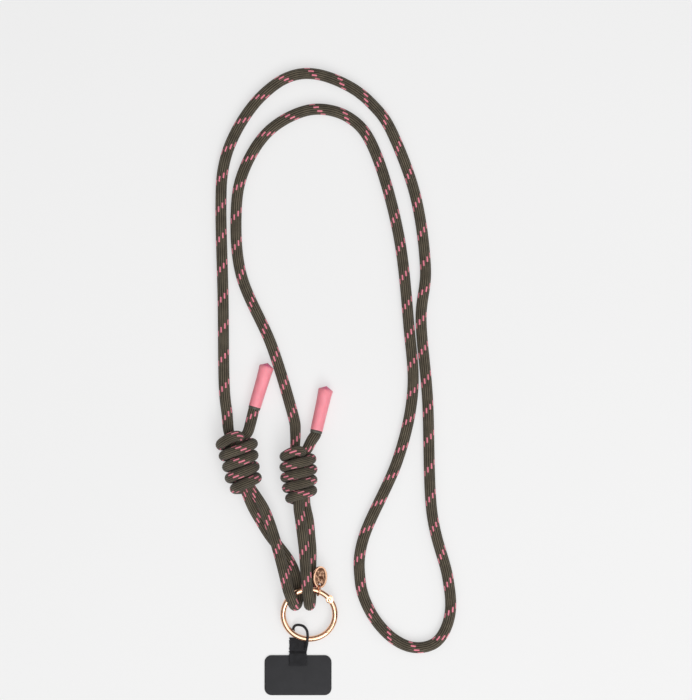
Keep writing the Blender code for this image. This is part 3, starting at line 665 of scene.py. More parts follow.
def tether_material(name, look):
    """Thin black plaited cord, with painted highlights on its raised stitches."""
    material, tree, shader = new_material(name, {"Roughness": 0.6})
    plait = use_group(tree, plait_group(), Map=cord_place(tree), Ribs=8.0, Stitch=0.55 * MM)
    raised = compute(tree, "MULTIPLY", plait["Stitches"], compute(tree, "SUBTRACT", 1.0, plait["Groove"]))
    # Painted highlight: raised stitches lighter than the grooves, as if lit.
    colour = blend_colours(tree, raised, look.colour, shaded(look.colour, 2.6))
    colour_and_relief(tree, shader, colour, raised, 0.08 * MM, 0.8)
    return material


def card_material(name, look):
    """The insert card's fine black cloth."""
    material, tree, shader = new_material(name, {"Roughness": 0.6, "Specular IOR Level": 0.35})
    parts = tree.nodes.new("ShaderNodeSeparateXYZ")
    connect(tree, object_place(tree), parts.inputs[0])
    threads = []
    for axis in ("X", "Y"):
        turns = compute(tree, "MULTIPLY", parts.outputs[axis], 2.0 * math.pi / CARD_THREAD)
        threads.append(compute(tree, "MULTIPLY_ADD", compute(tree, "SINE", turns), 0.5, 0.5))
    weave = compute(tree, "MAXIMUM", *threads)
    uneven = mottle(tree, 150.0, 2000.0)
    shade = compute(tree, "MULTIPLY", weave, ramp(tree, uneven["Patches"], 0.0, 1.0, 0.5, 1.0))
    colour = blend_colours(tree, shade, look.card_colour, shaded(look.card_colour, 1.6))
    colour_and_relief(tree, shader, colour, weave, 0.05 * MM, 0.6)
    return material


def floor_material(name, look):
    """Pale floor that gives off a share of its brightness, so that shadows stay faint."""
    glow = (*shaded(look.floor_colour, look.floor_glow), 1.0)
    material, tree, shader = new_material(
        name,
        {"Roughness": 0.55, "Specular IOR Level": 0.2, "Emission Color": glow, "Emission Strength": 1.0},
    )
    uneven = mottle(tree, 6.0, 300.0)
    pale = shaded(look.floor_colour, 1.0 - look.floor_glow)
    colour = blend_colours(tree, uneven["Patches"], shaded(pale, 0.985), pale)
    colour_and_relief(tree, shader, colour, uneven["Grain"], 0.02 * MM, 0.2)
    return material


def mesh_from(builder, name):
    """Turns a bmesh into a mesh."""
    mesh = bpy.data.meshes.new(name)
    builder.to_mesh(mesh)
    builder.free()
    return mesh


def add_object(name, data):
    obj = bpy.data.objects.new(name, data)
    bpy.context.collection.objects.link(obj)
    return obj


def finish_mesh(mesh, name, material, slot, nodes=(), smooth_angle=None, body="root"):
    """Makes a mesh a piece that rides on a body and stands for the given nodes."""
    mesh.shade_smooth()
    if smooth_angle is not None:
        mesh.set_sharp_from_angle(angle=math.radians(smooth_angle))
    mesh.materials.clear()
    mesh.materials.append(material)
    piece = add_object(name, mesh)
    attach(piece, body)
    if nodes:
        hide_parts(*nodes)
    return piece


def finish_piece(builder, name, *settings):
    """Turns a bmesh into a finished piece."""
    return finish_mesh(mesh_from(builder, name), name, *settings)


def grown(made, kind):
    """What a bmesh operator has just made, of one kind."""
    return [item for item in made["geom"] if isinstance(item, kind)]


def set_in_place(builder, matrix):
    """Moves a finished shape to its place and points its faces outwards."""
    bmesh.ops.transform(builder, matrix=matrix, verts=builder.verts)
    bmesh.ops.recalc_face_normals(builder, faces=builder.faces)


def route_points(rows):
    """Rows of metres as points, each with a full share of the cord's thickness."""
    return [Vector((x, y, z, 1.0)) for x, y, z in rows]


def curve_point(before, start, end, after, share):
    """A point of the smooth curve from start to end that also heeds the points on either side."""
    square = share * share
    cube = square * share
    return 0.5 * (
        2.0 * start
        + (end - before) * share
        + (2.0 * before - 5.0 * start + 4.0 * end - after) * square
        + (3.0 * start - before - 3.0 * end + after) * cube
    )


def smooth(points, fine=24):
    """The smooth curve through the points, in small steps."""
    padded = [2.0 * points[0] - points[1], *points, 2.0 * points[-1] - points[-2]]
    curve = []
    for i in range(1, len(padded) - 2):
        for k in range(fine):
            curve.append(curve_point(*padded[i - 1 : i + 3], k / fine))
    curve.append(points[-1].copy())
    return curve


def even_steps(curve, step):
    """The curve's points at even distances of about step, and those distances along it."""
    total = sum((b - a).xyz.length for a, b in zip(curve, curve[1:]))
    count = max(4, round(total / step))
    spacing = total / count
    points = [curve[0].copy()]
    runs = [0.0]
    done = 0.0
    for a, b in zip(curve, curve[1:]):
        length = (b - a).xyz.length
        while length > 0.0 and len(points) < count and done + length >= len(points) * spacing:
            share = (len(points) * spacing - done) / length
            points.append(a.lerp(b, share))
            runs.append(len(runs) * spacing)
        done += length
    points.append(curve[-1].copy())
    runs.append(total)
    return points, runs


def frames_along(points):
    """At each point, two directions square to the path that don't twist about it. The second starts up."""
    last = len(points) - 1
    up = Vector((0.0, 0.0, 1.0))
    frames = []
    for i in range(len(points)):
        way = (points[min(i + 1, last)] - points[max(i - 1, 0)]).xyz.normalized()
        up = (up - way * up.dot(way)).normalized()
        frames.append((way.cross(up), up))
    return frames


def ramp_share(value, low, high):
    """How far value has come from low to high, eased at both ends."""
    share = max(0.0, min(1.0, (value - low) / (high - low)))
    return share * share * (3.0 - 2.0 * share)


def tube_mesh(points, runs, radius, sides, relief=None):
    """A tube about the path, closed at both ends, with a map of turns round it and metres along it.

    The seam lies underneath. relief gives how far the surface lies below the radius at a turn.
    """
    rows = len(points)
    builder = bmesh.new()
    bmesh.ops.create_grid(builder, x_segments=sides, y_segments=rows - 1, size=0.5)
    layer = builder.loops.layers.uv.new("cord_map")
    tight = builder.verts.layers.float.new("drawn_in")
    frames = frames_along(points)
    places = {}
    for vert in builder.verts:
        places[vert] = (vert.co.x + 0.5, round((vert.co.y + 0.5) * (rows - 1)))
    for face in builder.faces:
        for loop in face.loops:
            turn, row = places[loop.vert]
            loop[layer].uv = (turn, runs[row])
    for vert, (turn, row) in places.items():
        angle = 2.0 * math.pi * (turn - 0.25)
        low = relief(turn) if relief else 0.0
        side, up = frames[row]
        reach = (radius - low) * points[row].w
        vert.co = points[row].xyz + (side * math.cos(angle) + up * math.sin(angle)) * reach
        vert[tight] = 1.0 - ramp_share(points[row].w, *SUNK)
    bmesh.ops.remove_doubles(builder, verts=builder.verts, dist=1e-7)
    bmesh.ops.holes_fill(builder, edges=builder.edges, sides=sides + 1)
    bmesh.ops.recalc_face_normals(builder, faces=builder.faces)
    return builder


def rib_relief(look):
    """The cord's ribs: rounded backs and narrow grooves."""

    def relief(turn):
        aside = abs((turn * look.ribs + 0.5) % 1.0 - 0.5) * 2.0
        return look.rib_depth * aside**3

    return relief


def twist_at(twist, share):
    """Turns of the tracer yarn at a share of a cord's length, read from the cord's twist."""
    if share <= twist[0][0]:
        return twist[0][1]
    for (low, first), (high, last) in zip(twist, twist[1:]):
        if share <= high:
            return first + (last - first) * (share - low) / (high - low)
    return twist[-1][1]


def make_cord(name, points, look, nodes, twist):
    """A length of plaited cord along a smooth curve."""
    steps, runs = even_steps(smooth(points), look.step)
    length = runs[-1]
    laid = [run + look.tracer_pitch * twist_at(twist, run / length) for run in runs]
    builder = tube_mesh(steps, laid, DIAMETER / 2, look.ribs * RIB_FACETS, rib_relief(look))
    material = material_once("braided_cord_look", braided_cord_material, look)
    piece = finish_piece(builder, name, material, "braided_cord", nodes)
    return piece, steps, length


def knot_point(knot, lateral, along, depth, share):
    """A point in the knot's own directions: to the right, down its axis and up from its middle."""
    down = Vector((math.sin(knot["lean"]), -math.cos(knot["lean"])))
    right = Vector((math.cos(knot["lean"]), math.sin(knot["lean"])))
    place = Vector(knot["top"]) + right * lateral + down * along
    return Vector((place.x, place.y, KNOT_HEIGHT + depth, share))


def core_point(knot, strand, along, share=KNOT_CORE):
    """A point of one of the three strands squeezed together inside the turns."""
    lateral, depth = knot["strands"][strand]
    return knot_point(knot, lateral * DIAMETER, along, depth * DIAMETER, share)


def knot_length(knot):
    return knot["first"] + KNOT_TURNS * knot["pitch"]


def middle(knot):
    """How far down the axis the strands inside the knot meet end to end."""
    return 0.5 * knot_length(knot)


def turn_size(knot, turn):
    """The winding's half width and its middle's shift to the right, read from the knot's turns."""
    rows = knot["turns"]
    low = min(int(turn), len(rows) - 2)
    share = turn - low
    return [DIAMETER * (a * (1.0 - share) + b * share) for a, b in zip(rows[low], rows[low + 1])]


def turn_point(knot, turn):
    """A point of the winding: whole turns lie at the left side, half turns at the right."""
    angle = math.pi + 2.0 * math.pi * turn
    drop = knot["front_drop"] * (1.0 + math.cos(angle)) / 2.0
    along = knot["first"] + knot["pitch"] * turn - drop
    half_width, shift = turn_size(knot, turn)
    lateral = shift + half_width * math.cos(angle)
    return knot_point(knot, lateral, along, KNOT_DEPTH * math.sin(angle), knot["squeeze"])


def knot_step(knot, lateral, along, depth, share):
    """A point of the knot in diameters, squeezed to its share or else as the knot's turns are."""
    squeeze = share or knot["squeeze"]
    return knot_point(knot, lateral * DIAMETER, along * DIAMETER, depth * DIAMETER, squeeze)


def core_foot(knot, strand):
    """The stretch of a strand from the knot's foot to where it ends, in the middle of the core."""
    return [
        core_point(knot, strand, knot_length(knot) - FOOT_CORE),
        core_point(knot, strand, middle(knot) + GAP / 2),
    ]


def knot_rows(knot):
    """The bight that comes up out of the core, the turns round it and the end tucked in below."""
    start = middle(knot) - GAP / 2
    rows = [core_point(knot, "bight", start), core_point(knot, "bight", 0.55 * start)]
    rows += [knot_step(knot, *step) for step in BIGHT_STEPS]
    left, along, depth = BIGHT_SIDE
    half_width = turn_size(knot, 0)[0]
    rows.append(
        knot_point(knot, left * half_width, along * knot["first"], depth * DIAMETER, knot["squeeze"])
    )
    count = int(knot["last_turn"] * KNOT_STEPS)
    rows += [turn_point(knot, k / KNOT_STEPS) for k in range(count + 1)]
    turns_long = knot_length(knot) / DIAMETER
    for lateral, beyond, depth, share in knot["tuck"]:
        rows.append(knot_step(knot, lateral, turns_long + beyond, depth, share))
    return rows + core_foot(knot, "tail")


def into_top(knot, strand):
    """Rows that lead a cord from the knot's mouth to the middle of its core."""
    return [
        core_point(knot, strand, *TOP_NECK),
        core_point(knot, strand, TOP_CORE),
        core_point(knot, strand, middle(knot) - GAP / 2),
    ]


def into_foot(knot, strand):
    """Rows that lead a cord from the knot's lower end up to the middle of its core."""
    lateral, depth = knot["exits"][strand]
    inside, share = FOOT_NECK
    neck = knot_point(knot, lateral * DIAMETER, knot_length(knot) - inside, depth * DIAMETER, share)
    return [neck, *core_foot(knot, strand)]


def mouth(rows, share):
    """Route points whose first and last are squeezed to share, where the cord meets a knot."""
    points = route_points(rows)
    points[0].w = share
    points[-1].w = share
    return points


def leg_rows(knot, rows, strands):
    """A leg from one strand in the knot's foot, down through the ring and back to the other."""
    first, last = [into_foot(knot, strand) for strand in strands]
    return first[::-1] + mouth(rows, LEG_MOUTH) + last


def tail_rows(knot, rows, cap_end):
    """The tail's cord, with the stretch inside the cap squeezed to fit its bore."""
    run = route_points(rows)
    run[0].w = CORD_MOUTH
    run.insert(0, knot_step(knot, *TAIL_EXIT))
    opening = run.pop().xyz
    way = (Vector(cap_end) - opening).normalized()
    seat = CAP_BORE_DEPTH - CAP_SEAT_GAP
    inner = (CAP_BORE_RADIUS - GAP) / (DIAMETER / 2)
    steps = (
        (-CAP_APPROACH, 1.0), (-BAND_LENGTH, 1.0), (-CAP_NARROWED, inner),
        (0.5 * seat, inner), (seat, inner),
    )
    for along, share in steps:
        run.append(Vector((*(opening + way * along), share)))
    return into_top(knot, "tail")[::-1] + run


def ring_radius():
    return (RING_OUTER - RING_WIRE) / 2


def ring_frame():
    """The ring's near side rests on the tab, and its tilt lifts the rest."""
    lowest = TAB_THICKNESS + GAP + RING_WIRE / 2
    centre = Vector((*RING_PLACE, lowest + ring_radius() * math.sin(RING_TILT)))
    return Matrix.Translation(centre) @ Matrix.Rotation(RING_TILT, 4, "X")


def ring_spot(angle, radius=None, rise=0.0):
    """A point given by its angle round the ring, in the ring's own plane unless it has a rise."""
    radius = ring_radius() if radius is None else radius
    return Vector((radius * math.cos(angle), radius * math.sin(angle), rise))


def helper(name, builder):
    """A bmesh as an object that only cuts or joins others."""
    bmesh.ops.recalc_face_normals(builder, faces=builder.faces)
    return add_object(name, mesh_from(builder, name))


def cylinder(name, radius, length, place=(0.0, 0.0, 0.0), segments=48):
    builder = bmesh.new()
    bmesh.ops.create_cone(
        builder, cap_ends=True, segments=segments, radius1=radius, radius2=radius, depth=length
    )
    bmesh.ops.translate(builder, verts=builder.verts, vec=place)
    return helper(name, builder)


def boolean(obj, operation, other):
    """Joins or cuts obj with a helper."""
    modifier = obj.modifiers.new(other.name, "BOOLEAN")
    modifier.operation = operation
    modifier.object = other


def settle(obj, helpers=()):
    """The object's mesh with its modifiers applied. The object and its helpers are removed."""
    graph = bpy.context.evaluated_depsgraph_get()
    mesh = bpy.data.meshes.new_from_object(obj.evaluated_get(graph))
    for other in [obj, *helpers]:
        bpy.data.objects.remove(other)
    return mesh


def spin_sector(builder, first, last, steps):
    """Spins the builder's one face about the ring's axis and closes the far end."""
    turned = Matrix.Rotation(first, 4, "Z")
    bmesh.ops.transform(builder, matrix=turned, verts=builder.verts)
    sides = len(builder.verts)
    bmesh.ops.spin(
        builder, geom=list(builder.faces), cent=(0.0, 0.0, 0.0), axis=(0.0, 0.0, 1.0),
        angle=last - first, steps=steps, use_duplicate=False,
    )
    bmesh.ops.holes_fill(builder, edges=builder.edges, sides=sides)


def ring_sector(name, first, last):
    """A stretch of the ring's round wire, in the ring's own frame."""
    builder = bmesh.new()
    made = bmesh.ops.create_circle(builder, cap_ends=True, segments=RING_SIDES, radius=RING_WIRE / 2)
    upright = Matrix.Translation((ring_radius(), 0.0, 0.0)) @ Matrix.Rotation(math.pi / 2, 4, "X")
    bmesh.ops.transform(builder, matrix=upright, verts=made["verts"])
    spin_sector(builder, first, last, max(6, round(RING_STEPS * (last - first) / (2 * math.pi))))
    return helper(name, builder)


def flat_sector(name, inner, outer, first, last):
    """A thick flat stretch of an annulus, used to cut the lap joint at the catch."""
    builder = bmesh.new()
    height = 2.0 * RING_WIRE
    corners = [(inner, -height), (outer, -height), (outer, height), (inner, height)]
    builder.faces.new([builder.verts.new(ring_spot(0.0, radius, rise)) for radius, rise in corners])
    spin_sector(builder, first, last, 24)
    return helper(name, builder)


def hinge_reach(angle):
    """How far the ring's wire at this angle is from the hinge."""
    return (ring_spot(angle) - ring_spot(HINGE_ANGLE)).length


def lap_cutter(name, inner, outer, first, last, operation, reach):
    """A flat sector whose end is round about the hinge, so that the gate swings past it."""
    cutter = flat_sector(name, inner, outer, first, last)
    hinge = ring_spot(HINGE_ANGLE)
    swing = cylinder(name + "_swing", reach, 6 * RING_WIRE, hinge, SWING_SIDES)
    boolean(cutter, operation, swing)
    return [cutter, swing]


def soften(obj, width, segments=2):
    """Rounds the sharp edges that the cuts leave."""
    modifier = obj.modifiers.new("soft_edges", "BEVEL")
    modifier.limit_method = "ANGLE"
    modifier.angle_limit = math.radians(40.0)
    modifier.width = width
    modifier.segments = segments
    modifier.use_clamp_overlap = True
    modifier.harden_normals = False


def finish_ring_part(obj, helpers, name, material, body="root"):
    """Applies the cuts, puts the part in its place and leaves the helpers behind."""
    mesh = settle(obj, helpers)
    mesh.transform(ring_frame())
    return finish_mesh(mesh, name + "_polished", material, "rose_gold", [name], METAL_CREASE, body)


def make_ring_body(material):
    """The fixed part of the ring: a forked end at the hinge and the outer half of the lap joint."""
    hinge = ring_spot(HINGE_ANGLE)
    body = ring_sector("ring_wire", HINGE_ANGLE, LAP_START + CUT_PAST + 2 * math.pi)
    cheeks = cylinder("cheeks", CHEEK_RADIUS, RING_WIRE, hinge)
    slot = cylinder("cheek_slot", CHEEK_RADIUS + GAP, TONGUE + 2 * GAP, hinge, 56)
    bore = cylinder("cheek_bore", PIN_RADIUS + GAP / 2, 3 * RING_WIRE, hinge, 32)
    split = ring_radius() + GAP / 2
    past = LAP_START + 2 * CUT_PAST
    lap = lap_cutter(
        "lap_inside", split - RING_WIRE, split, LAP_END - CUT_PAST, past, "INTERSECT",
        hinge_reach(LAP_END) + GAP,
    )
    end = lap_cutter(
        "body_end", split - RING_WIRE, split + RING_WIRE, LAP_START - CUT_PAST, past, "INTERSECT",
        hinge_reach(LAP_START) + GAP,
    )
    boolean(body, "UNION", cheeks)
    for cutter in (slot, bore, lap[0], end[0]):
        boolean(body, "DIFFERENCE", cutter)
    soften(body, BODY_EDGE)
    return finish_ring_part(body, [cheeks, slot, bore, *lap, *end], "ring_body", material)


def make_gate(material):
    """The swinging part: a tongue on the pin, the wire and the inner half of the lap joint."""
    hinge = ring_spot(HINGE_ANGLE)
    gate = ring_sector("gate_wire", LAP_END - CUT_PAST, HINGE_ANGLE)
    rise = TONGUE / 2 + RING_WIRE / 2
    rooms = []
    for side in (1, -1):
        place = hinge + Vector((0.0, 0.0, side * rise))
        rooms.append(cylinder("cheek_room", CHEEK_RADIUS + GAP, RING_WIRE, place))
    tongue = cylinder("tongue", CHEEK_RADIUS - GAP / 2, TONGUE * 0.96, hinge, 44)
    bore = cylinder("tongue_bore", PIN_RADIUS + GAP / 2, 3 * RING_WIRE, hinge, 32)
    split = ring_radius() - GAP / 2
    tip = cylinder("gate_tip", hinge_reach(LAP_END), 6 * RING_WIRE, hinge, SWING_SIDES)
    lap = lap_cutter(
        "lap_outside", split, split + RING_WIRE, LAP_END - 2 * CUT_PAST, LAP_START + CUT_PAST,
        "DIFFERENCE", hinge_reach(LAP_START),
    )
    for room in rooms:
        boolean(gate, "DIFFERENCE", room)
    boolean(gate, "UNION", tongue)
    boolean(gate, "DIFFERENCE", bore)
    boolean(gate, "DIFFERENCE", lap[0])
    boolean(gate, "INTERSECT", tip)
    soften(gate, GATE_EDGE)
    return finish_ring_part(gate, [*rooms, tongue, bore, tip, *lap], "ring_gate", material, "gate")


def make_pin(material):
    """The hinge pin, with a low domed head over each cheek."""
    outline = [(radius, drop - PIN_TOP) for radius, drop in PIN_HEAD_OUTLINE]
    outline += [(radius, PIN_TOP - drop) for radius, drop in reversed(PIN_HEAD_OUTLINE)]
    builder = bmesh.new()
    radius, height = outline[0]
    made = bmesh.ops.create_circle(builder, cap_ends=True, segments=PIN_SIDES, radius=radius)
    bmesh.ops.translate(builder, verts=made["verts"], vec=(0.0, 0.0, height))
    face = builder.faces[:][0]
    for next_radius, next_height in outline[1:]:
        face = bmesh.ops.extrude_discrete_faces(builder, faces=[face])["faces"][0]
        bmesh.ops.translate(builder, verts=face.verts, vec=(0.0, 0.0, next_height - height))
        grow = next_radius / radius
        bmesh.ops.scale(builder, verts=face.verts, vec=(grow, grow, 1.0))
        radius = next_radius
        height = next_height
    bmesh.ops.holes_fill(builder, edges=builder.edges, sides=PIN_SIDES)
    set_in_place(builder, ring_frame() @ Matrix.Translation(ring_spot(HINGE_ANGLE)))
    return finish_piece(builder, "gate_pin_polished", material, "rose_gold", ["gate_pin"], ROUND_CREASE)


def jump_direction():
    """From the ring's wire towards the charm's hole."""
    return Vector(JUMP_WAY).normalized()


def wire_at_charm():
    return ring_frame() @ ring_spot(CHARM_ANGLE)


def make_jump_ring(material):
    """A plain wire ring round the gate ring's wire and through the charm's hole."""
    wire_gap = JUMP_MEAN_RADIUS - JUMP_WIRE / 2 - RING_WIRE / 2 - GAP
    centre = wire_at_charm() + jump_direction() * wire_gap
    side = Matrix.Rotation(JUMP_ROLL, 3, "Y") @ Vector((1.0, 0.0, 0.0))
    across = side.cross(jump_direction()).normalized()
    builder = bmesh.new()
    made = bmesh.ops.create_circle(builder, segments=20, radius=JUMP_WIRE / 2)
    stand = Matrix.Translation((JUMP_MEAN_RADIUS, 0.0, 0.0)) @ Matrix.Rotation(math.pi / 2, 4, "X")
    bmesh.ops.transform(builder, matrix=stand, verts=made["verts"])
    bmesh.ops.spin(
        builder, geom=builder.edges[:], cent=(0.0, 0.0, 0.0), axis=(0.0, 0.0, 1.0),
        angle=2 * math.pi, steps=72, use_merge=True, use_duplicate=False,
    )
    normal = jump_direction().cross(across)
    turn = Matrix((jump_direction(), across, normal)).transposed().to_4x4()
    set_in_place(builder, Matrix.Translation(centre) @ turn)
    return finish_piece(builder, "jump_ring_polished", material, "rose_gold", ["jump_ring"])


def make_charm(material):
    """An oval plate with a rounded rim, a sunk hammered face on both sides and a hole at its foot."""
    builder = bmesh.new()
    made = bmesh.ops.create_circle(builder, cap_ends=True, segments=CHARM_SIDES, radius=0.5)
    bmesh.ops.scale(builder, verts=made["verts"], vec=(CHARM_WIDTH, CHARM_LENGTH, 1.0))
    bmesh.ops.translate(builder, verts=made["verts"], vec=(0.0, 0.0, -CHARM_THICKNESS / 2))
    made = bmesh.ops.extrude_face_region(builder, geom=builder.faces[:])
    bmesh.ops.translate(builder, verts=grown(made, bmesh.types.BMVert), vec=(0.0, 0.0, CHARM_THICKNESS))
    bmesh.ops.recalc_face_normals(builder, faces=builder.faces)
    faces = [face for face in builder.faces if abs(face.normal.z) > 0.9]
    for inset, depth in ((CHARM_RIM, 0.0), (CHARM_RECESS, -CHARM_RECESS)):
        bmesh.ops.inset_individual(
            builder, faces=faces, thickness=inset, depth=depth, use_even_offset=True
        )
    for step in range(CHARM_ROUNDS):
        faces = bmesh.ops.extrude_discrete_faces(builder, faces=faces)["faces"]
        inner = [vert for face in faces for vert in face.verts]
        shrink = (CHARM_ROUNDS - step - 0.5) / (CHARM_ROUNDS - step + 0.5)
        bmesh.ops.scale(builder, verts=inner, vec=(shrink, shrink, 1.0))
    charm = helper("charm_plate", builder)
    hole_y = -CHARM_LENGTH / 2 + CHARM_HOLE_INSET
    hole = cylinder("charm_hole", CHARM_HOLE_RADIUS, 4 * CHARM_THICKNESS, (0.0, hole_y, 0.0), 40)
    boolean(charm, "DIFFERENCE", hole)
    soften(charm, CHARM_EDGE, 3)
    mesh = settle(charm, [hole])
    hammer(mesh)
    reach = 2 * JUMP_MEAN_RADIUS - JUMP_WIRE / 2 - RING_WIRE / 2 - GAP
    eye = wire_at_charm() + jump_direction() * reach
    turn = Matrix.Rotation(CHARM_LEAN, 4, "Z") @ Matrix.Rotation(CHARM_ROLL, 4, "Y")
    centre = eye - turn.to_3x3() @ Vector((0.0, hole_y, 0.0))
    mesh.transform(Matrix.Translation(centre) @ turn)
    nodes = ["oval_charm"]
    return finish_mesh(mesh, "oval_charm_polished", material, "rose_gold", nodes, METAL_CREASE)


def hammer(mesh):
    """Dents the charm's sunk faces, and notes how low each place lies. High dents are less dark."""
    low = mesh.attributes.new("low_place", "FLOAT", "POINT")
    sunk_height = CHARM_THICKNESS / 2 - CHARM_RECESS + 0.02 * MM
    for vert in mesh.vertices:
        inside = math.hypot(vert.co.x / (CHARM_WIDTH / 2), vert.co.y / (CHARM_LENGTH / 2))
        sunk = abs(vert.co.z) < sunk_height and inside < SUNK_REACH
        low.data[vert.index].value = 1.0 if sunk else 0.0
        if sunk and inside < DENT_REACH:
            dent = noise.noise(vert.co / DENT_SPACING)
            vert.co.z += math.copysign(DENT_DEPTH * dent, vert.co.z)
            low.data[vert.index].value = 1.0 - 0.7 * max(0.0, min(1.0, 2.6 * dent))


def tail_place(rows, cap_end):
    """The place of a sleeve's mouth at the end of a tail's route, turned to its far end."""
    start = Vector(rows[-1])
    turn = (Vector(cap_end) - start).normalized().to_track_quat("Z", "Y").to_matrix().to_4x4()
    return Matrix.Translation(start) @ turn


def make_cap(name, rows, cap_end, look):
    """A soft sleeve with a rolled mouth and a far end pinched to a low roof."""
    builder = bmesh.new()
    sections = len(CAP_SECTIONS)
    bmesh.ops.create_grid(builder, x_segments=CAP_SIDES, y_segments=sections - 1, size=0.5)
    shade = builder.verts.layers.float.new("pinch")
    for vert in builder.verts:
        angle = 2.0 * math.pi * (vert.co.x + 0.5)
        across = math.cos(angle)
        share, wide, thin = CAP_SECTIONS[round((vert.co.y + 0.5) * (sections - 1))]
        ripple = CAP_RIPPLE * noise.noise(Vector((across, math.sin(angle), share * 9.0)))
        reach = CAP_END_RADIUS + ripple
        fall = CAP_ROOF * ramp_share(share, CAP_ROOF_START, 1.0) * abs(across)
        along = share * CAP_LENGTH - fall
        # Marks the sloped facet of the far end, which gets painted shade.
        vert[shade] = ramp_share(along - (CAP_LENGTH - CAP_ROOF), -CAP_FOLD_SHADE_BLUR, CAP_FOLD_SHADE_BLUR)
        vert.co = (reach * wide * across, reach * thin * math.sin(angle), along)
    bmesh.ops.remove_doubles(builder, verts=builder.verts, dist=1e-7)
    rims = [edge for edge in builder.edges if edge.is_boundary]
    near = [edge for edge in rims if edge.verts[0].co.z < CAP_LENGTH / 2]
    far = [edge for edge in rims if edge.verts[0].co.z > CAP_LENGTH / 2]
    bmesh.ops.holes_fill(builder, edges=far, sides=CAP_SIDES)
    lip = bmesh.ops.extrude_edge_only(builder, edges=near)
    shrink = CAP_BORE_RADIUS / (CAP_END_RADIUS * CAP_SECTIONS[0][1])
    bmesh.ops.scale(builder, verts=grown(lip, bmesh.types.BMVert), vec=(shrink, shrink, 1.0))
    bore = bmesh.ops.extrude_edge_only(builder, edges=grown(lip, bmesh.types.BMEdge))
    bmesh.ops.translate(builder, verts=grown(bore, bmesh.types.BMVert), vec=(0.0, 0.0, CAP_BORE_DEPTH))
    bmesh.ops.holes_fill(builder, edges=builder.edges, sides=CAP_SIDES)
    set_in_place(builder, tail_place(rows, cap_end))
    material = material_once("pink_sleeve_look", sleeve_material, look)
    return finish_piece(builder, name + "_sleeve", material, "pink_sleeve", [name], ROUND_CREASE)


def make_band(name, rows, cap_end, look):
    """The dark band that shows between the cord and the sleeve's mouth."""
    builder = bmesh.new()
    radius = CAP_BORE_RADIUS
    made = bmesh.ops.create_circle(builder, segments=CAP_SIDES, radius=radius)
    edges = builder.edges[:]
    bmesh.ops.translate(builder, verts=made["verts"], vec=(0.0, 0.0, -BAND_LENGTH))
    for past, place in BAND_OUTLINE:
        made = bmesh.ops.extrude_edge_only(builder, edges=edges)
        edges = grown(made, bmesh.types.BMEdge)
        verts = grown(made, bmesh.types.BMVert)
        grow = (CAP_BORE_RADIUS + past) / radius
        bmesh.ops.scale(builder, verts=verts, vec=(grow, grow, 1.0))
        bmesh.ops.translate(builder, verts=verts, vec=(0.0, 0.0, place - verts[0].co.z))
        radius = CAP_BORE_RADIUS + past
    set_in_place(builder, tail_place(rows, cap_end))
    material = material_once("sleeve_band_look", band_material, look)
    return finish_piece(builder, name + "_band", material, "pink_sleeve")


def near_side_y():
    """The middle of the ring's wire at the side nearest to the tab."""
    return RING_PLACE[1] - ring_radius() * math.cos(RING_TILT)


def make_tether_loop(look):
    """The thin cord that comes out of the tab, round the ring's wire and back."""
    place = Vector((TAB_PLACE_X, near_side_y(), 0.0, 0.0))
    points = [place + point for point in route_points(TETHER_ROUTE)]
    steps, runs = even_steps(smooth(points), TETHER_STEP)
    builder = tube_mesh(steps, runs, TETHER_DIAMETER / 2, TETHER_SIDES)
    material = material_once("tether_cord_look", tether_material, look)
    return finish_piece(builder, "tether_cord", material, "black_webbing", ["tether_loop"])


def make_tab(look):
    """The woven strip: raised warps in a plain weave, with a slightly frayed edge."""
    low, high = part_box("tether_tab")
    card_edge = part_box("insert_card")[1].y
    size = high - low

    def floor_at(y):
        """The strip's underside, which steps up on the card."""
        up = ramp_share(-y, -card_edge - TAB_STEP_START, -card_edge - TAB_STEP_END)
        return low.z + up * (size.z - TAB_THICKNESS)

    builder = bmesh.new()
    along = round(size.y / WEFT) * WEFT_FACETS
    bmesh.ops.create_grid(builder, x_segments=WARPS * WARP_FACETS, y_segments=along, size=0.5)
    for vert in builder.verts:
        x_share = vert.co.x + 0.5
        y_share = vert.co.y + 0.5
        y = low.y + size.y * y_share
        warp = abs(math.sin(math.pi * WARPS * x_share))
        over = math.cos(2.0 * math.pi * (y_share * size.y / WEFT / 2.0 + 0.5 * int(x_share * WARPS)))
        edge = max(0.0, 1.0 - min(x_share, 1.0 - x_share) * WARPS)
        relief = WARP_RELIEF * (1.0 - warp) + WEFT_RELIEF * (1.0 - over) + EDGE_DROP * edge
        across, down = FRAY_WAVES
        fray = FRAY * noise.noise(Vector((x_share * across, y_share * down, 2.0))) * edge
        vert.co = (low.x + size.x * x_share + fray, y, floor_at(y) + TAB_THICKNESS - relief)
    rim = [edge for edge in builder.edges if edge.is_boundary]
    made = bmesh.ops.extrude_edge_only(builder, edges=rim)
    for vert in grown(made, bmesh.types.BMVert):
        vert.co.z = floor_at(vert.co.y) + TAB_CLEARANCE
    bmesh.ops.holes_fill(builder, edges=builder.edges, sides=0)
    bmesh.ops.recalc_face_normals(builder, faces=builder.faces)
    material = material_once("black_webbing_look", webbing_material, look)
    return finish_piece(builder, "woven_tab", material, "black_webbing", ["tether_tab"], TAB_CREASE)


def height_of(edge):
    """How much higher one end of an edge lies than the other."""
    return abs(edge.verts[0].co.z - edge.verts[1].co.z)


def round_edges(builder, edges, width, segments):
    bmesh.ops.bevel(
        builder, geom=edges, offset=width, segments=segments, profile=0.5, affect="EDGES", material=-1
    )


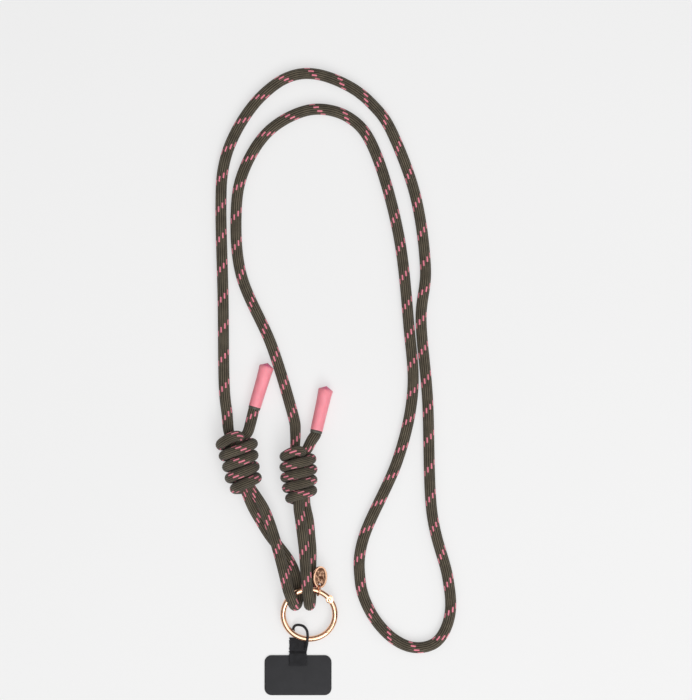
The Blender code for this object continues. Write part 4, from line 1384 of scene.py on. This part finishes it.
def make_card(look):
    """The insert card: a thin plate with round corners and softened edges."""
    low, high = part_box("insert_card")
    builder = bmesh.new()
    bmesh.ops.create_cube(builder, size=1.0)
    bmesh.ops.scale(builder, verts=builder.verts, vec=high - low)
    bmesh.ops.translate(builder, verts=builder.verts, vec=(low + high) / 2)
    round_edges(builder, [edge for edge in builder.edges if height_of(edge) > GAP], CARD_CORNER, 14)
    round_edges(builder, [edge for edge in builder.edges if height_of(edge) < GAP / 2], CARD_EDGE, 4)
    bmesh.ops.recalc_face_normals(builder, faces=builder.faces)
    material = material_once("insert_card_look", card_material, look)
    return finish_piece(builder, "cloth_card", material, "black_webbing", ["insert_card"], ROUND_CREASE)


class STRAP_OT_stage(bpy.types.Operator):
    """Sets up the pale floor, the soft light and the camera straight above"""

    bl_idname = "strap.stage"
    bl_label = "Studio"

    def execute(self, context):
        look = context.scene.strap_stage
        builder = bmesh.new()
        bmesh.ops.create_grid(builder, x_segments=1, y_segments=1, size=FLOOR_HALF)
        mesh = mesh_from(builder, "studio_floor")
        mesh.materials.append(material_once("pale_floor_look", floor_material, look))
        add_object("studio_floor", mesh)

        world = bpy.data.worlds.new("studio_sky")
        world.use_nodes = True
        tree = world.node_tree
        sky = tree.nodes["Background"]
        parts = tree.nodes.new("ShaderNodeSeparateXYZ")
        connect(tree, tree.nodes.new("ShaderNodeTexCoord").outputs["Generated"], parts.inputs[0])
        height = ramp(tree, parts.outputs["Z"], 0.30, 0.62)
        grey = blend_colours(tree, height, (0.10, 0.085, 0.08), (1.0, 1.0, 1.0))
        connect(tree, grey, sky.inputs["Color"])
        sky.inputs["Strength"].default_value = look.sky
        context.scene.world = world

        for name, place, size, power in LIGHTS:
            data = bpy.data.lights.new(name, "AREA")
            data.shape = "DISK"
            data.size = size
            data.energy = getattr(look, power)
            light = add_object(name, data)
            light.location = place
            light.rotation_euler = Vector(place).to_track_quat("Z", "Y").to_euler()

        data = bpy.data.cameras.new("photo_camera")
        data.lens = look.lens
        data.sensor_width = SENSOR
        data.clip_start = CLIP_NEAR
        data.clip_end = CLIP_FAR
        camera = add_object("photo_camera", data)
        camera.location = (*AIM, PHOTO_HEIGHT * PIXEL * data.lens / SENSOR)
        context.scene.camera = camera
        context.scene.view_settings.view_transform = "Standard"
        return {"FINISHED"}


class STRAP_OT_strap_cord(bpy.types.Operator):
    """Lays the long plaited cord from knot to knot"""

    bl_idname = "strap.strap_cord"
    bl_label = "Strap cord"

    def execute(self, context):
        look = context.scene.strap_cord
        rows = into_top(LEFT_KNOT, "standing")[::-1] + mouth(STRAP_ROUTE, CORD_MOUTH)
        rows += into_top(RIGHT_KNOT, "standing")
        piece, path, length = make_cord("strap_rope", rows, look, ["strap_cord"], STRAP_TWIST)
        return {"FINISHED"}


class STRAP_OT_legs(bpy.types.Operator):
    """Lays each knot's leg through the ring and back"""

    bl_idname = "strap.legs"
    bl_label = "Legs"

    def execute(self, context):
        look = context.scene.strap_cord
        left = leg_rows(LEFT_KNOT, LEFT_LEG_ROUTE, ("bight", "standing"))
        right = leg_rows(RIGHT_KNOT, RIGHT_LEG_ROUTE, ("standing", "bight"))
        make_cord("left_leg_rope", left, look, ["left_leg"], LEFT_LEG_TWIST)
        make_cord("right_leg_rope", right, look, ["right_leg"], RIGHT_LEG_TWIST)
        return {"FINISHED"}


class STRAP_OT_knots(bpy.types.Operator):
    """Winds the two barrel knots"""

    bl_idname = "strap.knots"
    bl_label = "Knots"

    def execute(self, context):
        look = context.scene.strap_cord
        make_cord("left_knot_rope", knot_rows(LEFT_KNOT), look, ["left_knot"], LEFT_KNOT_TWIST)
        make_cord("right_knot_rope", knot_rows(RIGHT_KNOT), look, ["right_knot"], RIGHT_KNOT_TWIST)
        return {"FINISHED"}


class STRAP_OT_tails(bpy.types.Operator):
    """Lays the two tails with their sleeves and dark bands"""

    bl_idname = "strap.tails"
    bl_label = "Tails and sleeves"

    def execute(self, context):
        look = context.scene.strap_cord
        sleeve = context.scene.strap_sleeve
        sides = (
            ("left", LEFT_KNOT, LEFT_TAIL_ROUTE, LEFT_CAP_END, LEFT_TAIL_TWIST),
            ("right", RIGHT_KNOT, RIGHT_TAIL_ROUTE, RIGHT_CAP_END, RIGHT_TAIL_TWIST),
        )
        for side, knot, route, cap_end, twist in sides:
            rows = tail_rows(knot, route, cap_end)
            piece, path, length = make_cord(side + "_tail_rope", rows, look, [side + "_tail"], twist)
            cap = make_cap(side + "_end_cap", route, cap_end, sleeve)
            band = make_band(side + "_end_cap", route, cap_end, sleeve)
        return {"FINISHED"}


class STRAP_OT_ring(bpy.types.Operator):
    """Polishes the gate ring: its body, gate and hinge pin"""

    bl_idname = "strap.ring"
    bl_label = "Gate ring"

    def execute(self, context):
        metal = material_once("rose_gold_look", rose_gold_material, context.scene.strap_metal)
        make_ring_body(metal)
        make_gate(metal)
        make_pin(metal)
        return {"FINISHED"}


class STRAP_OT_charm(bpy.types.Operator):
    """Hangs the oval charm on its jump ring"""

    bl_idname = "strap.charm"
    bl_label = "Charm and jump ring"

    def execute(self, context):
        metal = material_once("rose_gold_look", rose_gold_material, context.scene.strap_metal)
        make_jump_ring(metal)
        make_charm(metal)
        return {"FINISHED"}


class STRAP_OT_tether(bpy.types.Operator):
    """Makes the tether's thin loop, its woven tab and its card"""

    bl_idname = "strap.tether"
    bl_label = "Tether"

    def execute(self, context):
        look = context.scene.strap_webbing
        make_tether_loop(look)
        make_tab(look)
        make_card(look)
        return {"FINISHED"}


LOOKS = (
    ("strap_cord", "Cord", CordLook, (STRAP_OT_strap_cord, STRAP_OT_legs, STRAP_OT_knots, STRAP_OT_tails)),
    ("strap_sleeve", "Sleeves", SleeveLook, ()),
    ("strap_metal", "Metal", MetalLook, (STRAP_OT_ring, STRAP_OT_charm)),
    ("strap_webbing", "Webbing", WebbingLook, (STRAP_OT_tether,)),
    ("strap_stage", "Studio", StageLook, (STRAP_OT_stage,)),
)


class STRAP_PT_dresser(bpy.types.Panel):
    """Sizes, colours and pieces of the strap"""

    bl_idname = "STRAP_PT_dresser"
    bl_label = "Strap"
    bl_space_type = "VIEW_3D"
    bl_region_type = "UI"
    bl_category = "Strap"

    def draw(self, context):
        for attribute, title, group, operators in LOOKS:
            box = self.layout.box()
            box.label(text=title)
            settings = getattr(context.scene, attribute)
            for name in group.__annotations__:
                box.prop(settings, name)
            for operator in operators:
                box.operator(operator.bl_idname)


def classes():
    """Every class to register, the groups of settings first."""
    listed = [group for _, _, group, _ in LOOKS]
    for _, _, _, operators in LOOKS:
        listed.extend(operators)
    return [*listed, STRAP_PT_dresser]


def register():
    for item in classes():
        bpy.utils.register_class(item)
    for attribute, _, group, _ in LOOKS:
        setattr(bpy.types.Scene, attribute, PointerProperty(type=group))


def unregister():
    for attribute, _, _, _ in LOOKS:
        delattr(bpy.types.Scene, attribute)
    for item in reversed(classes()):
        bpy.utils.unregister_class(item)


def main():
    register()
    bpy.ops.strap.stage()
    bpy.ops.strap.strap_cord()
    bpy.ops.strap.legs()
    bpy.ops.strap.knots()
    bpy.ops.strap.tails()
    bpy.ops.strap.ring()
    bpy.ops.strap.charm()
    bpy.ops.strap.tether()


if __name__ == "__main__":
    main()
